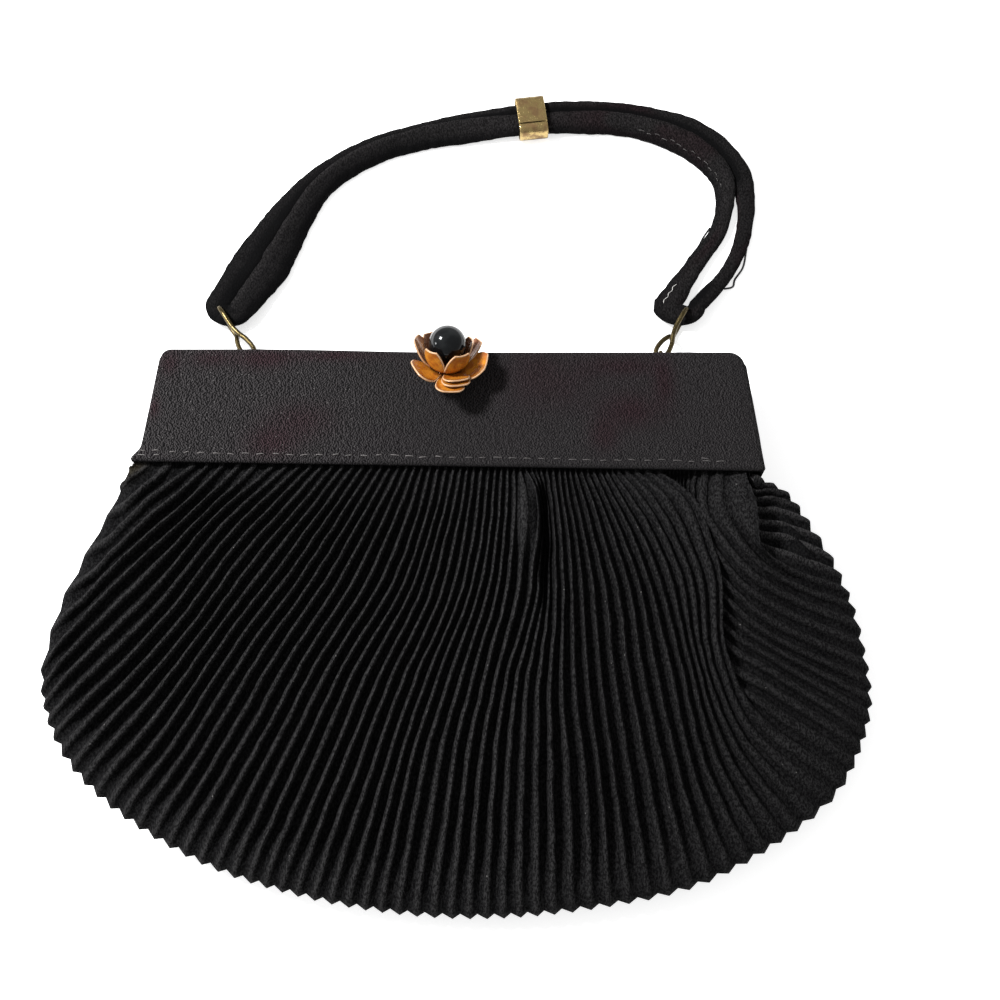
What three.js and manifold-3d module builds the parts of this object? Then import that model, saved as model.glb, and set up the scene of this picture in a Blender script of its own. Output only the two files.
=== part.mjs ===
// A pleated evening bag lying on its back: a covered frame, a pleated pouch, a flower knob
// with a bead, and a doubled cloth strap laid out above it on two wire links.
// Millimetres. +X runs along the frame, +Y from the hem to the strap, +Z up through the front.

import * as THREE from 'three';
import { mergeVertices } from 'three/addons/utils/BufferGeometryUtils.js';
import Module from 'manifold-3d';

const wasm = await Module();
wasm.setup();

// Clearance between neighbouring pieces, and the distance within which points are one point.
const GAP = 0.3;
const SAME_POINT = 1e-4;

// Covered frame: a shallow box in two halves, open towards the pouch.
const FRAME = {
  topY: 27,
  topHalf: 86.4,
  waistY: -3,
  waistHalf: 89.6,
  hemHalf: 91,
  hemLeftY: -6.8,
  hemRightY: -10.8,
  depth: 23.5,
  wall: 2.4,
  corner: 2.6,
  edge: 1.3,
  partingGap: 0.6,
};

// Hidden hinge plates inside the two ends of the frame.
const HINGE = { thick: 1.4, lowY: 2, highY: 11 };

// Pleated pouch: one cloth that runs from the front mouth round the hem to the back mouth.
const POUCH = {
  pleats: 77,
  tuckIn: 5,
  frontMouthZ: FRAME.depth - FRAME.wall - GAP,
  backMouthZ: FRAME.wall + GAP,
  backSettle: 0.16,
  cornerZ: 12,
  hemZ: 7.5,
  cornerRun: 45,
  rise: 4.2,
  riseEnd: 0.8,
  frontFall: 3.2,
  frontRound: 2.2,
  backRound: 6,
  pleatDepth: 2,
  neckDepth: 1.2,
  depthPerPitch: 0.8,
  pleatDeepens: 0.15,
  foldStart: 0.06,
  foldFade: 0.35,
  foldMargin: 4,
  lipOffset: 1.6,
  core: [0, -60, 11],
  coreWeights: [1, 1, 3],
  probePleat: 0.5,
  probeShare: 0.02,
  wall: 1,
  innerColumns: 18,
  innerMargin: 2,
};

// Hem outline of the pouch, from the left mouth corner round the bottom to the right one.
const HEM_OUTLINE = [
  { x: -90.2, y: -7.9 },
  { x: -96.5, y: -12.5 },
  { x: -104.8, y: -22.5 },
  { x: -110.2, y: -38 },
  { x: -115.2, y: -53 },
  { x: -116.8, y: -70 },
  { x: -110.5, y: -88 },
  { x: -96, y: -102 },
  { x: -68, y: -118.3 },
  { x: -40, y: -127.8 },
  { x: -13, y: -132.4 },
  { x: 11, y: -133.4 },
  { x: 40, y: -130.6 },
  { x: 68, y: -124.5 },
  { x: 95.5, y: -110.3 },
  { x: 108, y: -100 },
  { x: 115.2, y: -86.5 },
  { x: 118, y: -75 },
  { x: 115.5, y: -45 },
  { x: 110.8, y: -30 },
  { x: 103.5, y: -17 },
  { x: 97, y: -14 },
  { x: 90.2, y: -11.7 },
];

// Guide pleats, counted from the left end: where each leaves the frame (mouth), how far round
// the hem it ends (run), and its sideways sway a third and two thirds of the way down.
const GUIDES = [
  { pleat: 0, run: 0, mouth: -86.6, swayNear: 0, swayFar: 0 },
  { pleat: 4, run: 42, mouth: -69, swayNear: 2, swayFar: 3 },
  { pleat: 8, run: 76, mouth: -53, swayNear: 2.2, swayFar: 3.5 },
  { pleat: 12, run: 105, mouth: -39.5, swayNear: 2.2, swayFar: 3.2 },
  { pleat: 18, run: 134, mouth: -20.5, swayNear: 2.4, swayFar: 1.6 },
  { pleat: 27, run: 177, mouth: 0, swayNear: 4.4, swayFar: 0.6 },
  { pleat: 35, run: 217, mouth: 17, swayNear: 3.6, swayFar: -1 },
  { pleat: 38, run: 231, mouth: 23, swayNear: 3, swayFar: -1 },
  { pleat: 41, run: 245, mouth: 28, swayNear: -1.4, swayFar: -0.6 },
  { pleat: 44, run: 259, mouth: 30.8, swayNear: -2.4, swayFar: 0.3 },
  { pleat: 50, run: 288, mouth: 38.5, swayNear: 2, swayFar: 0 },
  { pleat: 54, run: 309, mouth: 45, swayNear: 5.5, swayFar: -4 },
  { pleat: 57, run: 325, mouth: 50.5, swayNear: 5, swayFar: -9 },
  { pleat: 60, run: 342, mouth: 58, swayNear: 1.5, swayFar: -13 },
  { pleat: 63, run: 358, mouth: 66, swayNear: -4.5, swayFar: -12 },
  { pleat: 66, run: 374, mouth: 71.5, swayNear: -7, swayFar: -12 },
  { pleat: 70, run: 398, mouth: 76.5, swayNear: -6.5, swayFar: -10 },
  { pleat: 73, run: 416, mouth: 80, swayNear: -2, swayFar: -4 },
  { pleat: 77, run: 442, mouth: 86.6, swayNear: 0, swayFar: 0 },
];

// Folds of the front: a path of three points, how far the cloth sinks along it or to its
// right, how high its left lip stands, and how far the fold reaches to each side.
const FOLDS = [
  { kind: 'tuck', start: [25.6, -9], bend: [27, -25], end: [24.2, -46], sink: 3.6, lip: 1.8, reach: 3.2 },
  { kind: 'crease', start: [71.5, -12], bend: [75, -38], end: [77, -78], sink: 4.2, lip: 1.6, reach: 9 },
  { kind: 'crease', start: [85.5, -12], bend: [87, -22], end: [86.5, -34], sink: 1.8, lip: 1, reach: 5 },
];

// Stations down the front and back of each pleat, as shares of the way from mouth to hem.
const FRONT_STATIONS = [0, 0.1, 0.22, 0.36, 0.5, 0.64, 0.78, 0.9, 0.97, 1];
const BACK_STATIONS = [0.97, 0.9, 0.7, 0.4, 0.12, 0];
const INNER_FRONT_STATIONS = [0, 0.16, 0.36, 0.56, 0.76, 0.9, 0.96, 1];
const INNER_BACK_STATIONS = [0.93, 0.75, 0.4, 0.12, 0];

// Flower knob on the front of the frame, leaning back over its top edge.
const FLOWER = {
  base: [-2.4, 19.4, 26.4],
  axis: [0.08, 0.62, 0.79],
  cupRadius: 2.7,
  cupTop: 4.1,
  cupShoulder: 1,
  cupFoot: -0.9,
  sheet: 0.8,
  footRadius: 3.6,
  footThick: 0.9,
  stemRadius: 1.7,
  sides: 12,
};
const BEAD = { radius: 5.5, height: 9.9, sides: 14, rings: 10 };

// Petals: heading round the axis (0 right, -90 towards the hem), radius and height of the tip,
// height at the foot, how far the sheet bellies below its straight line, and half width.
const PETALS = [
  { heading: -126, reach: 7.6, rise: 9.6, foot: 1.4, belly: 2.6, half: 3.1 },
  { heading: -54, reach: 7.6, rise: 9.2, foot: 1.4, belly: 2.6, half: 3.1 },
  { heading: 20, reach: 7.7, rise: 10, foot: 1.4, belly: 2.6, half: 3.1 },
  { heading: 90, reach: 7.6, rise: 10.4, foot: 1.4, belly: 2.6, half: 3.1 },
  { heading: 162, reach: 7.7, rise: 10.2, foot: 1.4, belly: 2.6, half: 3.1 },
  { heading: -166, reach: 11.6, rise: 4, foot: -0.2, belly: 1.2, half: 3.6 },
  { heading: -91, reach: 11.8, rise: -0.6, foot: -0.4, belly: 0.4, half: 3.9 },
  { heading: -60, reach: 9.6, rise: 3.2, foot: 0.4, belly: 1, half: 3.4 },
  { heading: -12, reach: 12.8, rise: 5.6, foot: -0.2, belly: 1.2, half: 3.6 },
  { heading: 48, reach: 10.4, rise: 8.6, foot: 0.6, belly: 1.8, half: 3.2 },
  { heading: 128, reach: 10.2, rise: 8.6, foot: 0.6, belly: 1.8, half: 3.2 },
];

// Every petal's plan: width at the foot as a share of its widest, where along it is widest,
// where its rounded tip would close, how far its sides curl up per width, and its grid.
const PETAL = { foot: 0.27, widest: 0.72, tip: 1.07, curl: 0.22, lengthSteps: 4, widthSteps: 4 };

// Wire eyes in the top of the frame, and the twisted wire links that hang the strap on them.
const WIRE = { radius: 0.6, sides: 6 };
const EYE_PLACES = [-64.2, 63.4];
const EYE = { z: 7.6, halfSpan: 2.2, stand: 6.8, hang: 2.1, drop: 3.6, foot: 2.2, steps: 16 };
const LINK_STEPS = 36;

// Twisted figure-eight link: distance along it, across its lower lobe and over its upper lobe.
const LINK_LENGTH = 20;
const LINK_PATH = [
  { along: 0, across: 0, over: 0 },
  { along: 2.4, across: 2.3, over: 0 },
  { along: 6.5, across: 2.1, over: 0.2 },
  { along: 9.6, across: 0.5, over: 0.8 },
  { along: 12.2, across: 0, over: 1.3 },
  { along: 17.4, across: 0, over: 2.5 },
  { along: 20, across: 0, over: 1.4 },
  { along: 20, across: 0, over: -1.6 },
  { along: 17.6, across: 0, over: -3 },
  { along: 12, across: 0, over: -4.1 },
  { along: 9.6, across: -0.5, over: -0.8 },
  { along: 6.5, across: -2.1, over: -0.2 },
  { along: 2.4, across: -2.3, over: 0 },
];

// Doubled strap: the line midway between its two legs, the distance between their middles,
// each leg's width, their thickness, and how far they lie above the surface.
const STRAP = [
  { x: -75.6, y: 51.4, spread: 7.6, front: 5, back: 5, thick: 3, lift: 2.3 },
  { x: -71.4, y: 59.6, spread: 7.7, front: 6.6, back: 6, thick: 3.2, lift: 1 },
  { x: -65, y: 71.5, spread: 7.8, front: 7.2, back: 6.6, thick: 3.2, lift: 0 },
  { x: -52, y: 90.5, spread: 7.8, front: 7.4, back: 6.8, thick: 3.2, lift: 0 },
  { x: -33, y: 109.5, spread: 7.8, front: 7.4, back: 6.8, thick: 3.2, lift: 0 },
  { x: -8, y: 119.8, spread: 7.6, front: 7.2, back: 6.6, thick: 3.2, lift: 0 },
  { x: 14, y: 123.6, spread: 6.6, front: 5.8, back: 5.8, thick: 4.6, lift: 1.2 },
  { x: 34, y: 126, spread: 6.6, front: 5.8, back: 5.8, thick: 4.6, lift: 1.2 },
  { x: 56, y: 124.6, spread: 7.8, front: 7.2, back: 6.4, thick: 3.2, lift: 0 },
  { x: 78, y: 115, spread: 8.6, front: 7.4, back: 6.2, thick: 3.2, lift: 0 },
  { x: 90.4, y: 97, spread: 9, front: 6.8, back: 5.8, thick: 3.2, lift: 0 },
  { x: 87.6, y: 74, spread: 9.2, front: 6.6, back: 5.6, thick: 3.2, lift: 0 },
  { x: 78.5, y: 59.6, spread: 8.4, front: 6.6, back: 5.6, thick: 3.2, lift: 1 },
  { x: 72.6, y: 51, spread: 7.6, front: 5, back: 5, thick: 3, lift: 2.3 },
];

// Sections along each leg and round each fold, and their sides and squareness.
const STRAP_GRID = { legSteps: 26, turnSteps: 6, sides: 8, square: 0.6 };

// Brass slide round both legs of the strap: a bent strip whose ends meet in a seam.
const SLIDE = {
  share: 0.5,
  length: 10.4,
  wall: 0.7,
  slack: 0.5,
  corner: 2.6,
  seam: 0.5,
  seamShare: 0.28,
};

const CRAPE = { color: 0x2f2c2e, roughness: 0.9, metalness: 0 };
const PLEATED_CLOTH = { color: 0x131214, roughness: 0.95, metalness: 0 };
const GILT = { color: 0xc97a2a, roughness: 0.4, metalness: 0.7 };
const GLASS_BLACK = { color: 0x0b0d10, roughness: 0.08, metalness: 0 };
const AGED_BRASS = { color: 0xa8905a, roughness: 0.35, metalness: 1 };
const STEEL = { color: 0x8a8a8a, roughness: 0.5, metalness: 1 };

// Scale that makes a sway of 1 at a third of the way peak at 1.
const SWAY_PEAK = 6.75;

const lerp = THREE.MathUtils.lerp;
const clamp = THREE.MathUtils.clamp;
const smoothstep = THREE.MathUtils.smoothstep;

// Closed mesh from a list of points and a list of triangles of their numbers.
function meshGeometry(points, triangles) {
  const geometry = new THREE.BufferGeometry();
  const numbers = points.flatMap((point) => point.toArray());
  geometry.setAttribute('position', new THREE.Float32BufferAttribute(numbers, 3));
  geometry.setIndex(triangles.flat());
  return geometry;
}

// Solid for joining and cutting, from a closed geometry.
function solidOf(geometry) {
  const bare = geometry.clone();
  bare.deleteAttribute('normal');
  bare.deleteAttribute('uv');
  const merged = mergeVertices(bare, SAME_POINT);
  const vertProperties = new Float32Array(merged.attributes.position.array);
  const triVerts = new Uint32Array(merged.index.array);
  return new wasm.Manifold(new wasm.Mesh({ numProp: 3, vertProperties, triVerts }));
}

// Geometry of a joined or cut solid.
function geometryOf(solid) {
  const mesh = solid.getMesh();
  const geometry = new THREE.BufferGeometry();
  geometry.setAttribute('position', new THREE.BufferAttribute(new Float32Array(mesh.vertProperties), 3));
  geometry.setIndex(new THREE.BufferAttribute(new Uint32Array(mesh.triVerts), 1));
  return geometry;
}

// Box solid between two corners.
function boxSolid(low, high) {
  const size = high.map((value, axis) => value - low[axis]);
  const geometry = new THREE.BoxGeometry(...size);
  geometry.translate(...low.map((value, axis) => value + size[axis] / 2));
  return solidOf(geometry);
}

// Smooth value of a table's column at a station, never past the rows on either side.
function lookup(table, key, column, at) {
  const last = table.length - 1;
  let i = 0;
  while (i < last - 1 && at > table[i + 1][key]) i += 1;
  const slope = (j) => (table[j + 1][column] - table[j][column]) / (table[j + 1][key] - table[j][key]);
  const tangent = (j) => {
    if (j === 0) return slope(0);
    if (j === last) return slope(last - 1);
    const before = slope(j - 1);
    const after = slope(j);
    return before * after > 0 ? (2 * before * after) / (before + after) : 0;
  };
  const span = table[i + 1][key] - table[i][key];
  const t = clamp((at - table[i][key]) / span, 0, 1);
  const a = table[i][column];
  const b = table[i + 1][column];
  const hermite = (1 + 2 * t) * (1 - t) ** 2 * a + t * t * (3 - 2 * t) * b;
  return hermite + t * (1 - t) ** 2 * span * tangent(i) + t * t * (t - 1) * span * tangent(i + 1);
}

// Height of the frame's lower edge, which slants a little, at a place along the frame.
function frameLowerEdge(x) {
  return lerp(FRAME.hemLeftY, FRAME.hemRightY, (x + FRAME.hemHalf) / (2 * FRAME.hemHalf));
}

// Outline of the frame seen from the front, drawn a given distance inside its edge.
function frameOutline(inset, drop) {
  const top = FRAME.topY - inset;
  const topHalf = FRAME.topHalf - inset;
  const waistHalf = FRAME.waistHalf - inset;
  const hemHalf = FRAME.hemHalf - inset;
  const corner = FRAME.corner;
  const shape = new THREE.Shape();
  shape.moveTo(-hemHalf, FRAME.hemLeftY - drop);
  shape.lineTo(hemHalf, FRAME.hemRightY - drop);
  shape.lineTo(waistHalf, FRAME.waistY);
  shape.lineTo(topHalf, top - corner);
  shape.quadraticCurveTo(topHalf, top, topHalf - corner, top);
  shape.lineTo(-topHalf + corner, top);
  shape.quadraticCurveTo(-topHalf, top, -topHalf, top - corner);
  shape.lineTo(-waistHalf, FRAME.waistY);
  return shape;
}

// The two halves of the covered frame, each a tray that opens towards the pouch and its mate.
function frameHalves() {
  const edge = FRAME.edge;
  const shellOptions = {
    depth: FRAME.depth - 2 * edge,
    bevelThickness: edge,
    bevelSize: edge,
    bevelSegments: 2,
    curveSegments: 3,
  };
  const shell = new THREE.ExtrudeGeometry(frameOutline(edge, -edge), shellOptions);
  shell.translate(0, 0, edge);
  const hollowDepth = FRAME.depth - 2 * FRAME.wall;
  const hollowOptions = { depth: hollowDepth, bevelEnabled: false, curveSegments: 3 };
  const hollow = new THREE.ExtrudeGeometry(frameOutline(FRAME.wall, FRAME.wall), hollowOptions);
  hollow.translate(0, 0, FRAME.wall);
  const tray = solidOf(shell).subtract(solidOf(hollow));
  const reach = 2 * FRAME.hemHalf;
  const middle = FRAME.depth / 2;
  const half = FRAME.partingGap / 2;
  const upper = boxSolid([-reach, -reach, middle + half], [reach, reach, reach]);
  const lower = boxSolid([-reach, -reach, -reach], [reach, reach, middle - half]);
  let back = tray.intersect(lower);
  const hole = WIRE.radius + GAP;
  for (const x of EYE_PLACES) {
    for (const side of [-1, 1]) {
      const z = EYE.z + side * EYE.halfSpan;
      const low = [x - hole, FRAME.topY - 2 * FRAME.wall, z - hole];
      const high = [x + hole, FRAME.topY + FRAME.wall, z + hole];
      back = back.subtract(boxSolid(low, high));
    }
  }
  return { front: geometryOf(tray.intersect(upper)), back: geometryOf(back) };
}

// Hidden hinge plate along the inside of one end of the frame.
function hingePlate(side) {
  const inside = (y) => {
    const share = (FRAME.topY - y) / (FRAME.topY - FRAME.waistY);
    return lerp(FRAME.topHalf, FRAME.waistHalf, share) - FRAME.wall - 2 * GAP;
  };
  const shape = new THREE.Shape();
  shape.moveTo(side * inside(HINGE.lowY), HINGE.lowY);
  shape.lineTo(side * inside(HINGE.highY), HINGE.highY);
  shape.lineTo(side * (inside(HINGE.highY) - HINGE.thick), HINGE.highY);
  shape.lineTo(side * (inside(HINGE.lowY) - HINGE.thick), HINGE.lowY);
  const depth = FRAME.depth - 2 * FRAME.wall - 2 * GAP;
  const geometry = new THREE.ExtrudeGeometry(shape, { depth, bevelEnabled: false });
  return geometry.translate(0, 0, FRAME.wall + GAP);
}

const hemPoints = HEM_OUTLINE.map((row) => new THREE.Vector3(row.x, row.y, 0));
const hemCurve = new THREE.CatmullRomCurve3(hemPoints);
hemCurve.arcLengthDivisions = 8 * POUCH.pleats;
const hemLength = hemCurve.getLength();
const guideLength = GUIDES[GUIDES.length - 1].run;

// Signed distance from a fold's path to a point (positive to the right of the path, looking
// along it upwards), and the share of the path where the point lies.
function acrossFold(fold, x, y) {
  const path = [fold.start, fold.bend, fold.end];
  let best = { distance: Infinity };
  for (let i = 0; i < 2; i += 1) {
    const [ax, ay] = path[i];
    const [bx, by] = path[i + 1];
    const along = ((x - ax) * (bx - ax) + (y - ay) * (by - ay)) / ((bx - ax) ** 2 + (by - ay) ** 2);
    const t = clamp(along, 0, 1);
    const dx = x - lerp(ax, bx, t);
    const dy = y - lerp(ay, by, t);
    const distance = Math.hypot(dx, dy);
    if (distance < Math.abs(best.distance)) {
      best = { distance: dx >= 0 ? distance : -distance, share: (i + t) / 2 };
    }
  }
  return best;
}

// How far the folds lift or sink the front of the pouch at a point seen from the front.
function foldHeight(x, y) {
  let height = 0;
  for (const fold of FOLDS) {
    const { distance, share } = acrossFold(fold, x, y);
    const fade = smoothstep(1 - share, 0, POUCH.foldFade);
    const near = distance / fold.reach;
    if (fold.kind === 'tuck') {
      const lip = Math.exp(-((near + POUCH.lipOffset) ** 2)) * fold.lip;
      height += fade * (lip - fold.sink * Math.exp(-near * near));
    } else {
      const side = distance > 0 ? -fold.sink : fold.lip;
      height += fade * side * Math.exp(-Math.abs(near)) * Math.tanh(Math.abs(distance));
    }
  }
  return height;
}

// A point of the pouch's ridge surface: pleat counts from the left, share runs from the mouth
// (0) to the hem (1), back says which side of the bag it is on, and plain leaves out the sway
// of the pleats and the folds.
function pouchPoint(pleat, share, back, plain) {
  const mouthX = lookup(GUIDES, 'pleat', 'mouth', pleat);
  const run = lookup(GUIDES, 'pleat', 'run', pleat) / guideLength;
  const hem = hemCurve.getPointAt(clamp(run, 0, 1));
  const mouthY = frameLowerEdge(mouthX) - GAP;
  const near = lookup(GUIDES, 'pleat', 'swayNear', pleat) * (1 - share);
  const far = lookup(GUIDES, 'pleat', 'swayFar', pleat) * share;
  const sway = back || plain ? 0 : SWAY_PEAK * share * (1 - share) * (near + far);
  const x = lerp(mouthX, hem.x, share) + sway;
  const y = lerp(mouthY, hem.y, share);
  const fromEnd = Math.min(run, 1 - run) * hemLength;
  const clearOfEnd = smoothstep(fromEnd, 0, POUCH.cornerRun);
  const hemZ = lerp(POUCH.cornerZ, POUCH.hemZ, clearOfEnd);
  if (back) {
    const lifted = hemZ * (1 - (1 - share ** POUCH.backRound) ** (1 / POUCH.backRound));
    const settle = POUCH.backMouthZ * (1 - smoothstep(share, 0, POUCH.backSettle));
    return new THREE.Vector3(x, y, Math.max(lifted, settle));
  }
  const swell = Math.sin(Math.PI * Math.min(1, share / POUCH.riseEnd)) * clearOfEnd;
  const top = POUCH.frontMouthZ + POUCH.rise * swell;
  const fall = (1 - share ** POUCH.frontFall) ** (1 / POUCH.frontRound);
  const folds = plain ? 0 : foldHeight(x, y) * smoothstep(share, 0, POUCH.foldStart) * fall;
  return new THREE.Vector3(x, y, hemZ + (top - hemZ) * fall + folds);
}

// Direction into the bag, square to the plain form of the pouch.
function pouchInward(pleat, share, back) {
  const here = pouchPoint(pleat, share, back, true);
  const stepPleat = pleat > POUCH.pleats / 2 ? -POUCH.probePleat : POUCH.probePleat;
  const stepShare = share > 1 / 2 ? -POUCH.probeShare : POUCH.probeShare;
  const acrossPleats = pouchPoint(pleat + stepPleat, share, back, true).sub(here);
  const downPleat = pouchPoint(pleat, share + stepShare, back, true).sub(here);
  if (share === 1) downPleat.set(0, 0, 1);
  const inward = acrossPleats.cross(downPleat).normalize();
  const weights = new THREE.Vector3(...POUCH.coreWeights);
  const toCore = new THREE.Vector3(...POUCH.core).sub(here).multiply(weights);
  return inward.dot(toCore) < 0 ? inward.negate() : inward;
}

// A point of the pouch moved into the cloth by a depth, which pleats that crowd together lessen.
function pouchInside(pleat, share, back, depth, plain) {
  const here = pouchPoint(pleat, share, back, plain);
  const step = pleat > POUCH.pleats / 2 ? -POUCH.probePleat : POUCH.probePleat;
  const pitch = pouchPoint(pleat + step, share, back, plain).distanceTo(here) / POUCH.probePleat;
  const inset = plain ? depth : Math.min(depth, POUCH.depthPerPitch * pitch);
  here.addScaledVector(pouchInward(pleat, share, back), inset);
  if (plain && !back) {
    const nearby = [-2, -1, 0, 1, 2].map((k) => foldHeight(here.x + k * POUCH.foldMargin, here.y));
    here.z += Math.min(0, ...nearby) * (1 - share ** POUCH.frontFall);
  }
  return here;
}

// One skin of the pouch: rows of points from the front rim round the hem to the back rim.
function pouchSkin(columns, front, back, depthAt, plain) {
  const rim = (pleat, onBack) => {
    const x = lookup(GUIDES, 'pleat', 'mouth', pleat);
    const depth = depthAt(pleat, 0);
    const z = onBack ? POUCH.backMouthZ + depth : POUCH.frontMouthZ - depth;
    return new THREE.Vector3(x, frameLowerEdge(x) + POUCH.tuckIn, z);
  };
  const station = (share, onBack) => columns.map((pleat) => {
    const depth = depthAt(pleat, share);
    return pouchInside(pleat, share, onBack, depth, plain);
  });
  return [
    columns.map((pleat) => rim(pleat, false)),
    ...front.map((share) => station(share, false)),
    ...back.map((share) => station(share, true)),
    columns.map((pleat) => rim(pleat, true)),
  ];
}

// Triangles of a skin: its grid, and at each end a plate at the neck and a fan below it.
function skinTriangles(rows, offset) {
  const width = rows[0].length;
  const at = (r, c) => offset + r * width + c;
  const triangles = [];
  for (let r = 0; r < rows.length - 1; r += 1) {
    for (let c = 0; c < width - 1; c += 1) {
      triangles.push([at(r, c), at(r + 1, c), at(r, c + 1)]);
      triangles.push([at(r, c + 1), at(r + 1, c), at(r + 1, c + 1)]);
    }
  }
  const last = rows.length - 1;
  const end = width - 1;
  triangles.push([at(0, 0), at(last, 0), at(1, 0)]);
  triangles.push([at(1, 0), at(last, 0), at(last - 1, 0)]);
  triangles.push([at(0, end), at(1, end), at(last, end)]);
  triangles.push([at(1, end), at(last - 1, end), at(last, end)]);
  for (let r = 2; r < last - 1; r += 1) {
    triangles.push([at(1, 0), at(r + 1, 0), at(r, 0)]);
    triangles.push([at(1, end), at(r, end), at(r + 1, end)]);
  }
  return triangles;
}

// Triangles between two runs of points that start and end together but differ in number.
function stripBetween(first, second) {
  const triangles = [];
  let i = 0;
  let j = 0;
  while (i < first.length - 1 || j < second.length - 1) {
    const advanceFirst = (i + 1) / (first.length - 1) <= (j + 1) / (second.length - 1);
    if (advanceFirst || j === second.length - 1) {
      triangles.push([first[i], first[i + 1], second[j]]);
      i += 1;
    } else {
      triangles.push([first[i], second[j + 1], second[j]]);
      j += 1;
    }
  }
  return triangles;
}

// Pleated pouch: ridges and valleys outside, smooth inside, joined round the open mouth.
function pouch() {
  const columns = Array.from({ length: 2 * POUCH.pleats + 1 }, (_, i) => i / 2);
  const valley = (pleat, share) => {
    if (Number.isInteger(pleat)) return 0;
    return lerp(POUCH.neckDepth, POUCH.pleatDepth, smoothstep(share, 0, POUCH.pleatDeepens));
  };
  const span = POUCH.pleats - 2 * POUCH.innerMargin;
  const innerAt = (i) => POUCH.innerMargin + (i * span) / POUCH.innerColumns;
  const innerColumns = Array.from({ length: POUCH.innerColumns + 1 }, (_, i) => innerAt(i));
  const outside = pouchSkin(columns, FRONT_STATIONS, BACK_STATIONS, valley, false);
  const deep = () => POUCH.pleatDepth + POUCH.wall;
  const inside = pouchSkin(innerColumns, INNER_FRONT_STATIONS, INNER_BACK_STATIONS, deep, true);
  const points = [...outside.flat(), ...inside.flat()];
  const offset = outside.flat().length;
  const triangles = skinTriangles(outside, 0);
  for (const [a, b, c] of skinTriangles(inside, offset)) triangles.push([a, c, b]);
  const numbers = (rows, row, start) => rows[row].map((_, c) => start + row * rows[row].length + c);
  const frontRim = [numbers(outside, 0, 0), numbers(inside, 0, offset)];
  const backRim = [numbers(outside, outside.length - 1, 0), numbers(inside, inside.length - 1, offset)];
  triangles.push(...stripBetween(...frontRim));
  for (const [a, b, c] of stripBetween(...backRim)) triangles.push([a, c, b]);
  const endPlate = (i) => [frontRim[0].at(i), backRim[0].at(i), backRim[1].at(i), frontRim[1].at(i)];
  const [a, b, c, d] = endPlate(0);
  triangles.push([a, d, c], [a, c, b]);
  const [e, f, g, h] = endPlate(-1);
  triangles.push([e, f, g], [e, g, h]);
  return meshGeometry(points, triangles);
}

const flowerFrame = new THREE.Matrix4();
const flowerAxis = new THREE.Vector3(...FLOWER.axis).normalize();
const flowerRight = new THREE.Vector3(1, 0, 0).addScaledVector(flowerAxis, -flowerAxis.x).normalize();
flowerFrame.makeBasis(flowerRight, flowerAxis.clone().cross(flowerRight), flowerAxis);
flowerFrame.setPosition(...FLOWER.base);

// One petal: a cupped sheet that bellies from its foot on the cup to a rounded tip.
function petal(row) {
  const start = FLOWER.cupRadius - FLOWER.sheet;
  const sheetPoint = (u, v, side) => {
    const widen = lerp(PETAL.foot, 1, Math.sin((Math.PI / 2) * Math.min(1, u / PETAL.widest)));
    const narrow = Math.sqrt(1 - (Math.max(0, u - PETAL.widest) / (PETAL.tip - PETAL.widest)) ** 2);
    const width = row.half * widen * narrow;
    const radius = lerp(start, row.reach, u);
    const height = lerp(row.foot, row.rise, u) - row.belly * Math.sin(Math.PI * u);
    const climb = row.rise - row.foot - row.belly * Math.PI * Math.cos(Math.PI * u);
    const slope = Math.atan2(climb, row.reach - start);
    const raise = PETAL.curl * width * v * v + (side * FLOWER.sheet) / 2;
    const out = radius - raise * Math.sin(slope);
    return new THREE.Vector3(out, width * v, height + raise * Math.cos(slope));
  };
  const points = [];
  for (const side of [1, -1]) {
    for (let i = 0; i <= PETAL.lengthSteps; i += 1) {
      for (let j = 0; j <= PETAL.widthSteps; j += 1) {
        points.push(sheetPoint(i / PETAL.lengthSteps, (2 * j) / PETAL.widthSteps - 1, side));
      }
    }
  }
  const across = PETAL.widthSteps + 1;
  const under = across * (PETAL.lengthSteps + 1);
  const at = (i, j) => i * across + j;
  const triangles = [];
  for (let i = 0; i < PETAL.lengthSteps; i += 1) {
    for (let j = 0; j < PETAL.widthSteps; j += 1) {
      const [a, b, c, d] = [at(i, j), at(i + 1, j), at(i + 1, j + 1), at(i, j + 1)];
      triangles.push([a, b, c], [a, c, d]);
      triangles.push([under + a, under + c, under + b], [under + a, under + d, under + c]);
    }
  }
  const wallStrip = (p, q) => triangles.push([p, under + q, q], [p, under + p, under + q]);
  for (let i = 0; i < PETAL.lengthSteps; i += 1) {
    wallStrip(at(i, 0), at(i + 1, 0));
    wallStrip(at(i + 1, PETAL.widthSteps), at(i, PETAL.widthSteps));
  }
  for (let j = 0; j < PETAL.widthSteps; j += 1) {
    wallStrip(at(0, j + 1), at(0, j));
    wallStrip(at(PETAL.lengthSteps, j), at(PETAL.lengthSteps, j + 1));
  }
  return meshGeometry(points, triangles).rotateZ(THREE.MathUtils.degToRad(row.heading));
}

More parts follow.
